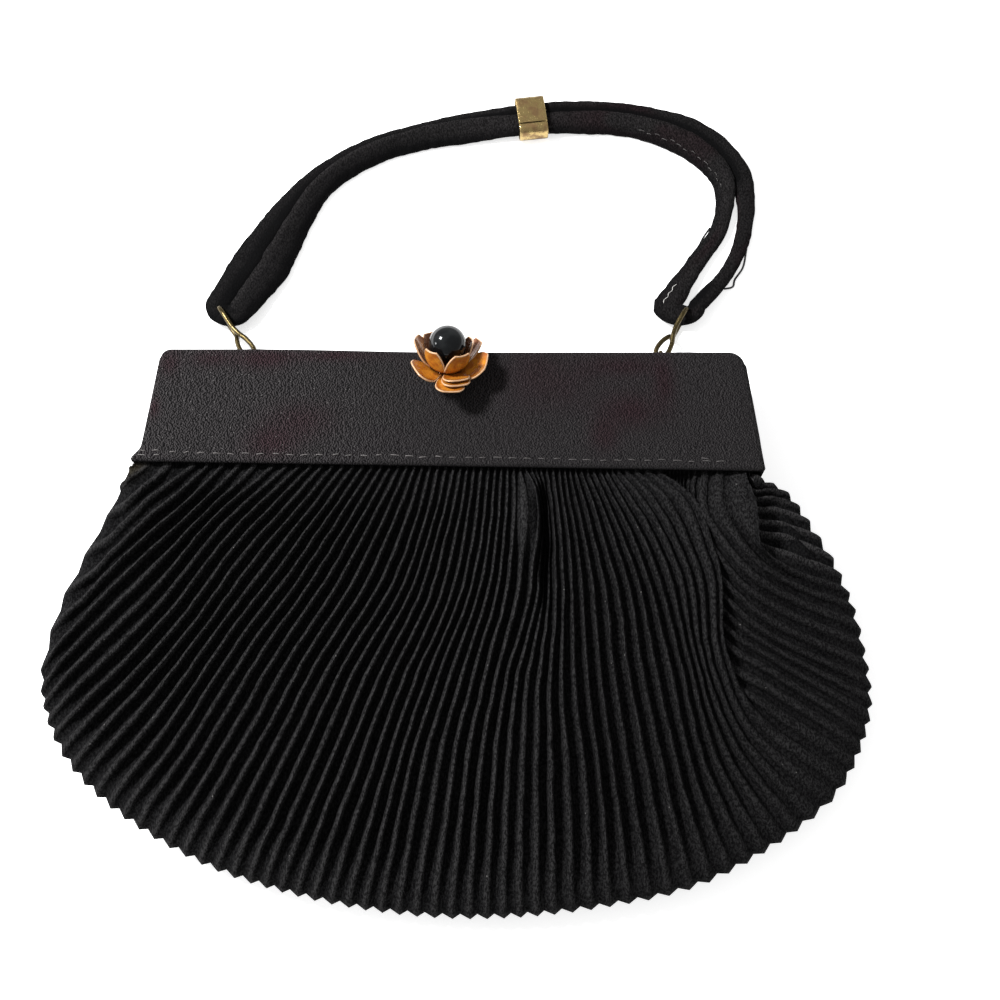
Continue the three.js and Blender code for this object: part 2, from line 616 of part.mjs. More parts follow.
// Flower knob: petals on a small cup, with a stem and a round foot on the face of the frame.
function flower() {
  const profile = [
    new THREE.Vector2(0, FLOWER.cupFoot),
    new THREE.Vector2(FLOWER.stemRadius, FLOWER.cupFoot),
    new THREE.Vector2(FLOWER.cupRadius, 0),
    new THREE.Vector2(FLOWER.cupRadius, FLOWER.cupTop - FLOWER.cupShoulder),
    new THREE.Vector2(FLOWER.stemRadius, FLOWER.cupTop),
    new THREE.Vector2(0, FLOWER.cupTop),
  ];
  const cup = new THREE.LatheGeometry(profile, FLOWER.sides).rotateX(Math.PI / 2);
  let knob = solidOf(cup.applyMatrix4(flowerFrame));
  for (const row of PETALS) knob = knob.add(solidOf(petal(row).applyMatrix4(flowerFrame)));
  const seat = FRAME.depth + GAP;
  const [x, y, z] = FLOWER.base;
  const { footRadius, footThick, stemRadius, sides } = FLOWER;
  const foot = new THREE.CylinderGeometry(footRadius, footRadius, footThick, sides);
  foot.rotateX(Math.PI / 2).translate(x, y, seat + footThick / 2);
  const stem = new THREE.CylinderGeometry(stemRadius, stemRadius, z - seat, sides);
  stem.rotateX(Math.PI / 2).translate(x, y, (z + seat) / 2);
  return geometryOf(knob.add(solidOf(foot)).add(solidOf(stem)));
}

// Wire eye: a staple whose legs go through the top of the frame and are clinched inside.
function eye(x) {
  const { z, halfSpan, stand, drop, foot, steps } = EYE;
  const place = (y, side) => new THREE.Vector3(x, FRAME.topY + y, z + side);
  const path = new THREE.CatmullRomCurve3([
    place(-drop, -halfSpan - foot),
    place(-drop, -halfSpan - foot / 4),
    place(-drop / 2, -halfSpan),
    place(stand - 2 * halfSpan / 3, -halfSpan),
    place(stand, -halfSpan / 2),
    place(stand, halfSpan / 2),
    place(stand - 2 * halfSpan / 3, halfSpan),
    place(-drop / 2, halfSpan),
    place(-drop, halfSpan + foot / 4),
    place(-drop, halfSpan + foot),
  ]);
  const section = new THREE.Shape().absarc(0, 0, WIRE.radius, 0, 2 * Math.PI);
  const options = { steps, extrudePath: path, curveSegments: WIRE.sides / 2 };
  return new THREE.ExtrudeGeometry(section, options);
}

// Twisted wire link that hangs on the top of an eye and holds the fold of the strap.
function link(eyeTop, fold) {
  const along = fold.clone().sub(eyeTop).normalize();
  const from = eyeTop.clone().addScaledVector(along, -EYE.hang);
  const scale = from.distanceTo(fold) / LINK_LENGTH;
  const across = new THREE.Vector3(along.y, -along.x, 0).normalize();
  const over = across.clone().cross(along);
  const points = LINK_PATH.map((row) => from
    .clone()
    .addScaledVector(along, row.along * scale)
    .addScaledVector(across, row.across)
    .addScaledVector(over, row.over));
  const path = new THREE.CatmullRomCurve3(points, true);
  return new THREE.TubeGeometry(path, LINK_STEPS, WIRE.radius, WIRE.sides, true);
}

const strapRows = STRAP.map((row, i) => ({ ...row, station: i / (STRAP.length - 1) }));
const strapPoints = STRAP.map((row) => new THREE.Vector3(row.x, row.y, 0));
const strapMiddle = new THREE.CatmullRomCurve3(strapPoints);

// A section of one leg of the strap at a station along its middle line.
function strapSection(station, side) {
  const at = (column) => lookup(strapRows, 'station', column, station);
  const middle = strapMiddle.getPoint(station);
  const heading = strapMiddle.getTangent(station);
  const outward = new THREE.Vector3(-heading.y, heading.x, 0).normalize();
  const thick = at('thick');
  middle.addScaledVector(outward, (side * at('spread')) / 2);
  middle.z = at('lift') + thick / 2;
  const width = at(side > 0 ? 'back' : 'front');
  return { middle, across: outward.multiplyScalar(side), width, thick };
}

// Sections round the fold at one end of the strap, from one leg to the other.
function strapTurn(station, side) {
  const ends = strapSection(station, side);
  const outward = ends.across;
  const { x, y } = strapMiddle.getPoint(station);
  const up = new THREE.Vector3(0, 0, 1);
  const sections = [];
  for (let i = 1; i < STRAP_GRID.turnSteps; i += 1) {
    const across = outward.clone().applyAxisAngle(up, (-Math.PI * i) / STRAP_GRID.turnSteps);
    const middle = new THREE.Vector3(x, y, ends.middle.z).addScaledVector(across, STRAP[0].spread / 2);
    sections.push({ ...ends, middle, across });
  }
  return sections;
}

// Doubled strap: one closed loop of flat rolled cloth, folded at both ends.
function strap() {
  const { legSteps, sides, square } = STRAP_GRID;
  const stations = Array.from({ length: legSteps + 1 }, (_, i) => i / legSteps);
  const backLeg = stations.map((station) => strapSection(station, 1));
  const frontLeg = stations.map((station) => strapSection(1 - station, -1));
  const sections = [...backLeg, ...strapTurn(1, 1), ...frontLeg, ...strapTurn(0, -1)];
  const squared = (value) => Math.sign(value) * Math.abs(value) ** square;
  const reach = Math.cos(Math.PI / sides) ** square;
  const points = [];
  for (const { middle, across, width, thick } of sections) {
    for (let k = 0; k < sides; k += 1) {
      const angle = (Math.PI * (2 * k + 1)) / sides;
      const sideways = (squared(Math.cos(angle)) / reach) * (width / 2);
      const point = middle.clone().addScaledVector(across, sideways);
      point.z += (squared(Math.sin(angle)) / reach) * (thick / 2);
      points.push(point);
    }
  }
  const triangles = [];
  for (let s = 0; s < sections.length; s += 1) {
    for (let k = 0; k < sides; k += 1) {
      const next = (s + 1) % sections.length;
      const beside = (k + 1) % sides;
      const [a, b] = [s * sides + k, s * sides + beside];
      const [d, c] = [next * sides + k, next * sides + beside];
      triangles.push([a, b, c], [a, c, d]);
    }
  }
  return meshGeometry(points, triangles);
}

// Rounded rectangle about the origin.
function roundedRectangle(width, height, corner) {
  const [x, y] = [width / 2, height / 2];
  const shape = new THREE.Shape();
  shape.moveTo(-x + corner, -y);
  shape.lineTo(x - corner, -y);
  shape.quadraticCurveTo(x, -y, x, -y + corner);
  shape.lineTo(x, y - corner);
  shape.quadraticCurveTo(x, y, x - corner, y);
  shape.lineTo(-x + corner, y);
  shape.quadraticCurveTo(-x, y, -x, y - corner);
  shape.lineTo(-x, -y + corner);
  shape.quadraticCurveTo(-x, -y, -x + corner, -y);
  return shape;
}

// Slide: a brass strip bent round both legs, with a seam on top.
function slide() {
  const { length, wall, slack, corner, seam, seamShare } = SLIDE;
  const at = (column) => lookup(strapRows, 'station', column, SLIDE.share);
  const width = at('spread') + (at('front') + at('back')) / 2 + 2 * slack;
  const height = at('thick') + 2 * slack;
  const options = { depth: length, bevelEnabled: false, curveSegments: 4 };
  const outline = roundedRectangle(width + 2 * wall, height + 2 * wall, corner);
  const outer = new THREE.ExtrudeGeometry(outline, options);
  const bore = roundedRectangle(width, height, corner - wall);
  const inner = new THREE.ExtrudeGeometry(bore, { ...options, depth: 3 * length });
  inner.translate(0, 0, -length);
  const seamX = width * seamShare - width / 2;
  const cut = boxSolid([seamX - seam / 2, 0, -length], [seamX + seam / 2, height, 2 * length]);
  const ring = geometryOf(solidOf(outer).subtract(solidOf(inner)).subtract(cut));
  return ring.translate(0, 0, -length / 2);
}

const pieces = new THREE.Group();

// A named piece of the bag with its own finish.
function addPiece(name, geometry, finish) {
  const mesh = new THREE.Mesh(geometry, new THREE.MeshStandardMaterial(finish));
  mesh.name = name;
  pieces.add(mesh);
  return mesh;
}

const halves = frameHalves();
addPiece('frame_front', halves.front, CRAPE);
addPiece('frame_back', halves.back, CRAPE);
addPiece('hinge_left', hingePlate(-1), STEEL);
addPiece('hinge_right', hingePlate(1), STEEL);
addPiece('pouch', pouch(), PLEATED_CLOTH);
addPiece('flower', flower(), GILT);

const bead = addPiece('bead', new THREE.SphereGeometry(BEAD.radius, BEAD.sides, BEAD.rings), GLASS_BLACK);
bead.position.set(0, 0, BEAD.height).applyMatrix4(flowerFrame);

const linkEnds = [0, STRAP.length - 1].map((row) => STRAP[row]);
['left', 'right'].forEach((side, i) => {
  const x = EYE_PLACES[i];
  addPiece(`eye_${side}`, eye(x), AGED_BRASS);
  const eyeTop = new THREE.Vector3(x, FRAME.topY + EYE.stand, EYE.z);
  const fold = new THREE.Vector3(linkEnds[i].x, linkEnds[i].y, linkEnds[i].lift + linkEnds[i].thick / 2);
  addPiece(`link_${side}`, link(eyeTop, fold), AGED_BRASS);
});

addPiece('strap', strap(), CRAPE);
const slidePiece = addPiece('slide', slide(), AGED_BRASS);
const slideMiddle = strapMiddle.getPoint(SLIDE.share);
const slideHeading = strapMiddle.getTangent(SLIDE.share);
const slideThick = lookup(strapRows, 'station', 'thick', SLIDE.share);
const slideLift = lookup(strapRows, 'station', 'lift', SLIDE.share);
slidePiece.position.set(slideMiddle.x, slideMiddle.y, slideLift + slideThick / 2);
const slideTurn = new THREE.Matrix4().makeBasis(
  new THREE.Vector3(-slideHeading.y, slideHeading.x, 0),
  new THREE.Vector3(0, 0, 1),
  slideHeading,
);
slidePiece.quaternion.setFromRotationMatrix(slideTurn);

export default pieces;
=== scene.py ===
"""A pleated evening bag lying on its back: covered frame, pleated pouch, flower knob and cloth strap.

Lengths inside the classes are millimetres in the model's own frame: +X along the frame, +Y from the
hem towards the strap, +Z up through the front. Meshes are written in metres.
"""

import logging
import math
from dataclasses import dataclass, field
from enum import Enum, IntEnum
from typing import Sequence

import bpy
import numpy as np
from bpy.types import Material, Node, NodeSocket, NodeTree, Object
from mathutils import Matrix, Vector


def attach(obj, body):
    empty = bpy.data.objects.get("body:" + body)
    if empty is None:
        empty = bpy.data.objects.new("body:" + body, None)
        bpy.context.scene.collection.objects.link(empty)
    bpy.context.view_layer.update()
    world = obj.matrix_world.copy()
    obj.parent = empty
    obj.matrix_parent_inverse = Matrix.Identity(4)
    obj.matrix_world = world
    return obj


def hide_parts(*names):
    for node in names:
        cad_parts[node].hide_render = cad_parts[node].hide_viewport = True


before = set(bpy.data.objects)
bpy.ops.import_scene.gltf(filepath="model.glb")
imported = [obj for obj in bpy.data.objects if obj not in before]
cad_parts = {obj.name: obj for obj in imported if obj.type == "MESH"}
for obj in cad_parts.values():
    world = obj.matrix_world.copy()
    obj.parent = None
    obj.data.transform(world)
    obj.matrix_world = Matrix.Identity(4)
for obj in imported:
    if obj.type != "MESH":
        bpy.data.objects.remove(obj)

Array = np.ndarray
Colour = tuple[float, float, float, float]
Point = tuple[float, float, float]
Span = tuple[float, float]

MM = 0.001
SEED = 11
TINY = 1e-9
FULL: Span = (0.0, 1.0)

log = logging.getLogger("evening_bag")


class Side(Enum):
    """Left or right end of the frame, with the place of its wire eye."""

    LEFT = -64.2
    RIGHT = 63.4


class Half(Enum):
    """The front and the back half of the covered frame."""

    FRONT = "frame_front"
    BACK = "frame_back"


class FrameThread(IntEnum):
    """Threads of the frame's sewing, in the order of their materials."""

    PALE = 0
    DULL = 1


class StrapThread(IntEnum):
    """Threads on the strap, in the order of their materials."""

    BLACK = 0
    WHITE = 1
    DULL = 2


def smooth(values: Array | float, low: float, high: float) -> Array:
    """Ease from 0 to 1 between two values.

    Args:
        values: Numbers to ease.
        low: Value where the ease starts.
        high: Value where it ends; it may be less than low.

    Returns:
        The eased shares.
    """
    share = np.clip((np.asarray(values, float) - low) / (high - low), 0, 1)
    return share * share * (3 - 2 * share)


def mix(start: Array | float, end: Array | float, share: Array | float) -> Array:
    """Straight mix of two values by a share."""
    return start + (np.asarray(end) - start) * share


def unit(vectors: Array) -> Array:
    """Vectors scaled to length 1."""
    return vectors / np.maximum(np.linalg.norm(vectors, axis=-1, keepdims=True), TINY)


class Table:
    """Rows of guide values that are read smoothly, never past the rows on either side."""

    def __init__(self, names: str, rows: Sequence[Sequence[float]]) -> None:
        """Keep the columns under their names.

        Args:
            names: Column names; the first one is the key.
            rows: The rows, in order of the key.
        """
        values = np.array(rows, float).T
        self.columns = dict(zip(names.split(), values))
        self.key = values[0]

    def read(self, name: str, at: Array | float) -> Array:
        """Read a column between the rows.

        Args:
            name: Column to read.
            at: Keys to read it at.

        Returns:
            The column's values there.
        """
        values = self.columns[name]
        at = np.asarray(at, float)
        slope = np.diff(values) / np.diff(self.key)
        before, after = slope[:-1], slope[1:]
        agree = before * after > 0
        middle = np.where(agree, 2 * before * after / np.where(agree, before + after, 1), 0)
        tangent = np.concatenate([slope[:1], middle, slope[-1:]])
        i = np.clip(np.searchsorted(self.key, at) - 1, 0, len(self.key) - 2)
        span = self.key[i + 1] - self.key[i]
        t = np.clip((at - self.key[i]) / span, 0, 1)
        curve = (1 + 2 * t) * (1 - t) ** 2 * values[i] + t * t * (3 - 2 * t) * values[i + 1]
        return curve + span * t * (1 - t) * ((1 - t) * tangent[i] - t * tangent[i + 1])


class Route:
    """A smooth curve through points, read by parameter or by length."""

    STEPS = 2001

    def __init__(self, points: Sequence[Sequence[float]], closed: bool = False) -> None:
        """Set up the curve.

        Args:
            points: Points that the curve goes through.
            closed: Whether it returns to its first point.
        """
        self.points = np.array(points, float)
        self.closed = closed
        self.grid = np.linspace(0, 1, self.STEPS)
        steps = np.linalg.norm(np.diff(self.at(self.grid), axis=0), axis=1)
        self.lengths = np.concatenate([[0], np.cumsum(steps)])

    def at(self, shares: Array) -> Array:
        """Points at shares of the parameter.

        Args:
            shares: Shares from 0 to 1.

        Returns:
            One point for each share.
        """
        points = self.points
        count = len(points)
        if self.closed:
            spans = count
            ring = np.concatenate([points[-1:], points, points[:2]])
        else:
            spans = count - 1
            before = 2 * points[:1] - points[1:2]
            after = 2 * points[-1:] - points[-2:-1]
            ring = np.concatenate([before, points, after])
        place = np.clip(np.asarray(shares, float), 0, 1) * spans
        i = np.minimum(place.astype(int), spans - 1)
        t = (place - i)[:, None]
        p0, p1, p2, p3 = (ring[i + k] for k in range(4))
        pairs = ((p0, p1), (p1, p2), (p2, p3))
        d0, d1, d2 = (np.sqrt(np.linalg.norm(b - a, axis=1))[:, None] for a, b in pairs)
        leave = ((p1 - p0) / d0 - (p2 - p0) / (d0 + d1) + (p2 - p1) / d1) * d1
        arrive = ((p2 - p1) / d1 - (p3 - p1) / (d1 + d2) + (p3 - p2) / d2) * d1
        square = -3 * p1 + 3 * p2 - 2 * leave - arrive
        cube = 2 * p1 - 2 * p2 + leave + arrive
        return p1 + leave * t + square * t**2 + cube * t**3

    def by_length(self, shares: Array) -> Array:
        """Points at shares of the curve's length."""
        return self.at(np.interp(np.asarray(shares) * self.lengths[-1], self.lengths, self.grid))

    def heading(self, shares: Array) -> Array:
        """Unit directions of the curve at shares of the parameter."""
        step = 1e-4
        return unit(self.at(np.asarray(shares) + step) - self.at(np.asarray(shares) - step))


class Wobble:
    """Smooth seeded unevenness over two coordinates, about -1 to 1."""

    SIZE = 64

    def __init__(self, seed: int) -> None:
        """Fill the table of random heights.

        Args:
            seed: Number that fixes the pattern.
        """
        self.table = np.random.default_rng(SEED + seed).uniform(-1, 1, (self.SIZE, self.SIZE))

    def at(self, u: Array | float, v: Array | float) -> Array:
        """Unevenness at two coordinates, where one bump is about one unit wide.

        Args:
            u: First coordinates.
            v: Second coordinates.

        Returns:
            The smoothed random values.
        """
        u, v = np.broadcast_arrays(np.asarray(u, float), np.asarray(v, float))
        i, j = np.floor(u).astype(int), np.floor(v).astype(int)
        s, t = smooth(u - i, 0, 1), smooth(v - j, 0, 1)
        rows = (i % self.SIZE, (i + 1) % self.SIZE)
        low, high = (mix(*(self.table[row, k % self.SIZE] for row in rows), s) for k in (j, j + 1))
        return mix(low, high, t)


def tube(path: Array, radius: Array | float, sides: int = 8, closed: bool = False) -> Array:
    """Sweep a round section along a path without twisting it.

    Args:
        path: Points of the middle line.
        radius: Radius, or one for each point.
        sides: Points round the section.
        closed: Whether the path returns to its start.

    Returns:
        Points as a grid of path points by sides.
    """
    count = len(path)
    if closed:
        heading = unit(np.roll(path, -1, axis=0) - np.roll(path, 1, axis=0))
    else:
        heading = unit(np.gradient(path, axis=0))
    helper = np.eye(3)[np.argmin(np.abs(heading[0]))]
    across = [unit(np.cross(heading[0], helper))]
    for k in range(1, count):
        last = across[-1]
        across.append(unit(last - heading[k] * np.dot(last, heading[k])))
    across = np.array(across)
    up = np.cross(heading, across)
    twist = np.zeros(count)
    if closed:
        end = unit(across[-1] - heading[0] * np.dot(across[-1], heading[0]))
        lag = math.atan2(np.dot(end, up[0]), np.dot(end, across[0]))
        twist = -lag * np.arange(count) / count
    angle = np.linspace(0, 2 * np.pi, sides, endpoint=False)[None, :] + twist[:, None]
    size = np.broadcast_to(np.asarray(radius, float), (count,))[:, None, None]
    ring = np.cos(angle)[..., None] * across[:, None] + np.sin(angle)[..., None] * up[:, None]
    return path[:, None] + ring * size


class MeshParts:
    """Points, faces and marks of one piece, gathered part by part."""

    def __init__(self, *marks: str) -> None:
        """Start empty.

        Args:
            marks: Names of the values that each point carries for the materials.
        """
        self.points: list[Array] = []
        self.faces: list[Array] = []
        self.skins: list[Array] = []
        self.marks: dict[str, list[Array]] = {name: [] for name in marks}
        self.count = 0

    def add_faces(self, faces: Array, skin: int = 0) -> None:
        """Add faces by the numbers of their points, with their material's place."""
        self.faces.append(np.asarray(faces, int))
        self.skins.append(np.full(len(faces), skin))

    def add_grid(
        self,
        grid: Array,
        ring: bool = False,
        loop: bool = False,
        skin: int = 0,
        flip: bool = False,
        **marks: Array | float,
    ) -> Array:
        """Add a grid of points and the quads between them.

        Args:
            grid: Points by rows and columns.
            ring: Whether each row closes on itself.
            loop: Whether the last row joins the first.
            skin: Place of the material.
            flip: Whether the faces look the other way.
            marks: Marks of the points; one that isn't given is 0.

        Returns:
            Numbers of the points by row and column.
        """
        rows, columns = grid.shape[:2]
        numbers = self.count + np.arange(rows * columns).reshape(rows, columns)
        self.count += rows * columns
        self.points.append(grid.reshape(-1, 3))
        for name, values in self.marks.items():
            mark = np.asarray(marks.get(name, 0.0), float)
            values.append(np.broadcast_to(mark, (rows, columns)).reshape(-1))
        net = numbers
        if ring:
            net = np.concatenate([net, net[:, :1]], axis=1)
        if loop:
            net = np.concatenate([net, net[:1]], axis=0)
        corners = [net[:-1, :-1], net[:-1, 1:], net[1:, 1:], net[1:, :-1]]
        quads = np.stack(corners, axis=-1).reshape(-1, 4)
        self.add_faces(quads[:, ::-1] if flip else quads, skin)
        return numbers

    def add_tube(
        self,
        path: Array,
        radius: Array | float,
        sides: int = 8,
        closed: bool = False,
        skin: int = 0,
        **marks: Array | float,
    ) -> None:
        """Add a round tube along a path, with its ends closed unless it is a ring.

        Args:
            path: Points of its middle line.
            radius: Its radius, or one for each point.
            sides: Points round it.
            closed: Whether it is a ring.
            skin: Place of the material.
            marks: Marks of its points.
        """
        grid = tube(path, radius, sides, closed)
        numbers = self.add_grid(grid, ring=True, loop=closed, skin=skin, flip=True, **marks)
        if not closed:
            self.cap(numbers[0], skin)
            self.cap(numbers[-1][::-1], skin)

    def cap(self, rim: Array, skin: int = 0) -> None:
        """Close a ring of points with triangles from its first point."""
        fan = [(rim[0], rim[k], rim[k + 1]) for k in range(1, len(rim) - 1)]
        self.add_faces(np.array(fan), skin)

    def add_strip(self, first: Array, second: Array, flip: bool = False) -> None:
        """Join two runs of points that start and end together but differ in number.

        Args:
            first: Numbers of the first run.
            second: Numbers of the second run.
            flip: Whether the faces look the other way.
        """
        faces = []
        i = j = 0
        while i < len(first) - 1 or j < len(second) - 1:
            ahead = (i + 1) * (len(second) - 1) <= (j + 1) * (len(first) - 1)
            if j == len(second) - 1 or (ahead and i < len(first) - 1):
                faces.append((first[i], first[i + 1], second[j]))
                i += 1
            else:
                faces.append((first[i], second[j + 1], second[j]))
                j += 1
        faces = np.array(faces)
        self.add_faces(faces[:, ::-1] if flip else faces)

    def piece(self, name: str, finishes: Sequence[Material], crisp: float = 50) -> Object:
        """Make the Blender object.

        Args:
            name: Name of the piece.
            finishes: Materials in the order of the skins.
            crisp: Angle in degrees from which an edge stays sharp.

        Returns:
            The object, linked to the scene.
        """
        mesh = bpy.data.meshes.new(name)
        faces = [face for block in self.faces for face in block.tolist()]
        mesh.from_pydata((np.concatenate(self.points) * MM).tolist(), [], faces)
        mesh.polygons.foreach_set("material_index", np.concatenate(self.skins).astype(np.int32))
        for mark, values in self.marks.items():
            layer = mesh.attributes.new(mark, "FLOAT", "POINT")
            layer.data.foreach_set("value", np.concatenate(values).astype(np.float32))
        for finish in finishes:
            mesh.materials.append(finish)
        mesh.shade_smooth()
        mesh.set_sharp_from_angle(angle=math.radians(crisp))
        mesh.validate()
        thing = bpy.data.objects.new(name, mesh)
        bpy.context.scene.collection.objects.link(thing)
        return thing


class Wiring:
    """Short way to lay out shader nodes in a node tree."""

    # Places of the mix node's sockets for colours: share, first, second and result.
    SHARE, FIRST, SECOND, RESULT = 0, 6, 7, 2

    def __init__(self, tree: NodeTree) -> None:
        """Take the tree that the nodes go into."""
        self.tree = tree

    def add(self, kind: str, settings: dict | None = None, **inputs: object) -> Node:
        """Add a node.

        Args:
            kind: Blender's name of the node type.
            settings: Properties of the node.
            inputs: Values or output sockets by input name, with _ for a space.

        Returns:
            The node.
        """
        node = self.tree.nodes.new(kind)
        for key, value in (settings or {}).items():
            setattr(node, key, value)
        for key, value in inputs.items():
            self.feed(node.inputs[key.replace("_", " ")], value)
        return node

    def feed(self, socket: NodeSocket, value: object) -> None:
        """Set a socket to a value, or link an output to it.

        Args:
            socket: Input to set.
            value: A plain value or an output socket.
        """
        if isinstance(value, NodeSocket):
            self.tree.links.new(value, socket)
        else:
            socket.default_value = value

    def spot(self) -> NodeSocket:
        """Place on the piece, in its own frame."""
        return self.add("ShaderNodeTexCoord").outputs["Object"]

    def math(self, operation: str, *values: object) -> NodeSocket:
        """Result of a math node.

        Args:
            operation: Blender's name of the operation.
            values: Its two or three values or sockets.

        Returns:
            The result's socket.
        """
        node = self.add("ShaderNodeMath", {"operation": operation})
        for socket, value in zip(node.inputs, values):
            self.feed(socket, value)
        return node.outputs[0]

    def ease(
        self, value: object, low: float, high: float, start: float = 0.0, end: float = 1.0
    ) -> NodeSocket:
        """Value eased from one range to another.

        Args:
            value: Socket to ease.
            low: Input where the ease starts.
            high: Input where it ends.
            start: Result at the low end.
            end: Result at the high end.

        Returns:
            The eased socket.
        """
        settings = {"interpolation_type": "SMOOTHSTEP"}
        limits = {"From_Min": low, "From_Max": high, "To_Min": start, "To_Max": end}
        return self.add("ShaderNodeMapRange", settings, Value=value, **limits).outputs["Result"]

    def blend(self, share: object, first: object, second: object, how: str = "MIX") -> NodeSocket:
        """Colour mixed from two colours.

        Args:
            share: Share of the second colour.
            first: First colour or socket.
            second: Second colour or socket.
            how: Blender's name of the way to mix them.

        Returns:
            The mixed colour's socket.
        """
        node = self.add("ShaderNodeMix", {"data_type": "RGBA", "blend_type": how})
        self.feed(node.inputs[self.SHARE], share)
        self.feed(node.inputs[self.FIRST], first)
        self.feed(node.inputs[self.SECOND], second)
        return node.outputs[self.RESULT]

    def noise(self, place: object, scale: object, detail: float = 3.0, rough: float = 0.55) -> NodeSocket:
        """Height of a noise texture at a place."""
        inputs = {"Vector": place, "Scale": scale, "Detail": detail, "Roughness": rough}
        return self.add("ShaderNodeTexNoise", None, **inputs).outputs[0]

    def stretch(self, place: object, scale: Point, shift: Point = (0, 0, 0)) -> NodeSocket:
        """Place scaled along each axis and then shifted."""
        return self.add("ShaderNodeMapping", None, Vector=place, Scale=scale, Location=shift).outputs[0]

    def resize(self, place: object, size: object) -> NodeSocket:
        """Place scaled alike along all axes."""
        settings = {"operation": "SCALE"}
        return self.add("ShaderNodeVectorMath", settings, Vector=place, Scale=size).outputs[0]

    def group(self, tree: NodeTree, **inputs: object) -> Node:
        """Place a node group with its own values."""
        return self.add("ShaderNodeGroup", {"node_tree": tree}, **inputs)


class Effects:
    """Shader node groups that several finishes share, each built once."""

    # Bumps to a metre along each axis, and how far a groove lies beside its rib in bumps.
    CRINKLE: Point = (2700, 1300, 1900)
    WEAVE: Point = (5200, 5200, 5200)
    RIBS: Point = (2350, 1300, 2350)
    BESIDE: Point = (1.25, 0, 0)
    STREAKS: Point = (190, 1250, 600)
    PATCHES = 30.0
    LINT_CELLS = 420.0

    # Share of the crinkle in the crape's height, and how much finer pits are than stains.
    CRINKLED = 0.7
    FINER = 7.0

    # Where each mask starts and where it is full.
    STREAKED: Span = (0.58, 0.7)
    SPECK_EDGE: Span = (0.2, 0.08)
    STAINED: Span = (0.38, 0.66)
    PITTED: Span = (0.56, 0.72)

    def __init__(self) -> None:
        """Build the groups."""
        self.grain = self.crape_grain()
        self.lint = self.lint_specks()
        self.ageing = self.tarnish()

    @staticmethod
    def start(name: str, inputs: dict[str, float], outputs: Sequence[str]) -> tuple[Wiring, Node, Node]:
        """Make an empty group with float sockets.

        Args:
            name: Name of the group.
            inputs: Its input names with their usual values.
            outputs: Its output names.

        Returns:
            The wiring, the group's input node and its output node.
        """
        tree = bpy.data.node_groups.new(name, "ShaderNodeTree")
        for label, value in inputs.items():
            socket = tree.interface.new_socket(label, in_out="INPUT", socket_type="NodeSocketFloat")
            socket.default_value = value
        for label in outputs:
            tree.interface.new_socket(label, in_out="OUTPUT", socket_type="NodeSocketFloat")
        wiring = Wiring(tree)
        return wiring, wiring.add("NodeGroupInput"), wiring.add("NodeGroupOutput")

    def crape_grain(self) -> NodeTree:
        """Crinkled crape weave: short upright ridges broken by a finer weave.

        Returns:
            The group, with the ridges' height, upright ribs, thin dark streaks and a slow patchiness.
        """
        outputs = ("Height", "Rib", "Slub", "Patch")
        wiring, given, out = self.start("crape_grain", {"Fineness": 1.0}, outputs)
        spot = wiring.resize(wiring.spot(), given.outputs["Fineness"])
        crinkle = wiring.noise(wiring.stretch(spot, self.CRINKLE), 1.0, 2.0, 0.6)
        weave = wiring.noise(wiring.stretch(spot, self.WEAVE), 1.0, 1.0, 0.5)
        woven = wiring.math("MULTIPLY", weave, 1 - self.CRINKLED)
        wiring.feed(out.inputs["Height"], wiring.math("MULTIPLY_ADD", crinkle, self.CRINKLED, woven))
        ridge = wiring.noise(wiring.stretch(spot, self.RIBS), 1.0, 0.0)
        groove = wiring.noise(wiring.stretch(spot, self.RIBS, self.BESIDE), 1.0, 0.0)
        wiring.feed(out.inputs["Rib"], wiring.math("SUBTRACT", ridge, groove))
        streak = wiring.noise(wiring.stretch(spot, self.STREAKS), 1.0, 1.0, 0.5)
        wiring.feed(out.inputs["Slub"], wiring.ease(streak, *self.STREAKED))
        wiring.feed(out.inputs["Patch"], wiring.noise(spot, self.PATCHES, 3.0, 0.6))
        return wiring.tree

    def lint_specks(self) -> NodeTree:
        """Scattered pale specks of lint and fibre.

        Returns:
            The group, with a mask of the specks.
        """
        wiring, given, out = self.start("lint_specks", {"Size": 1.0, "Amount": 0.5}, ("Speck",))
        spot = wiring.resize(wiring.spot(), given.outputs["Size"])
        cells = wiring.add("ShaderNodeTexVoronoi", {"feature": "F1"}, Vector=spot, Scale=self.LINT_CELLS)
        near = wiring.ease(cells.outputs["Distance"], *self.SPECK_EDGE)
        chosen = wiring.add("ShaderNodeSeparateColor", None, Color=cells.outputs["Color"]).outputs[0]
        kept = wiring.math("LESS_THAN", chosen, given.outputs["Amount"])
        wiring.feed(out.inputs["Speck"], wiring.math("MULTIPLY", near, kept))
        return wiring.tree

    def tarnish(self) -> NodeTree:
        """Uneven ageing of metal: broad stains, small pits and rubbed places.

        Returns:
            The group, with masks of the stain and of the pits.
        """
        wiring, given, out = self.start("tarnish", {"Scale": 300.0}, ("Stain", "Pits"))
        spot = wiring.spot()
        broad = wiring.noise(spot, given.outputs["Scale"], 4.0, 0.5)
        wiring.feed(out.inputs["Stain"], wiring.ease(broad, *self.STAINED))
        fine_scale = wiring.math("MULTIPLY", given.outputs["Scale"], self.FINER)
        fine = wiring.noise(spot, fine_scale, 2.0, 0.5)
        wiring.feed(out.inputs["Pits"], wiring.ease(fine, *self.PITTED))
        return wiring.tree


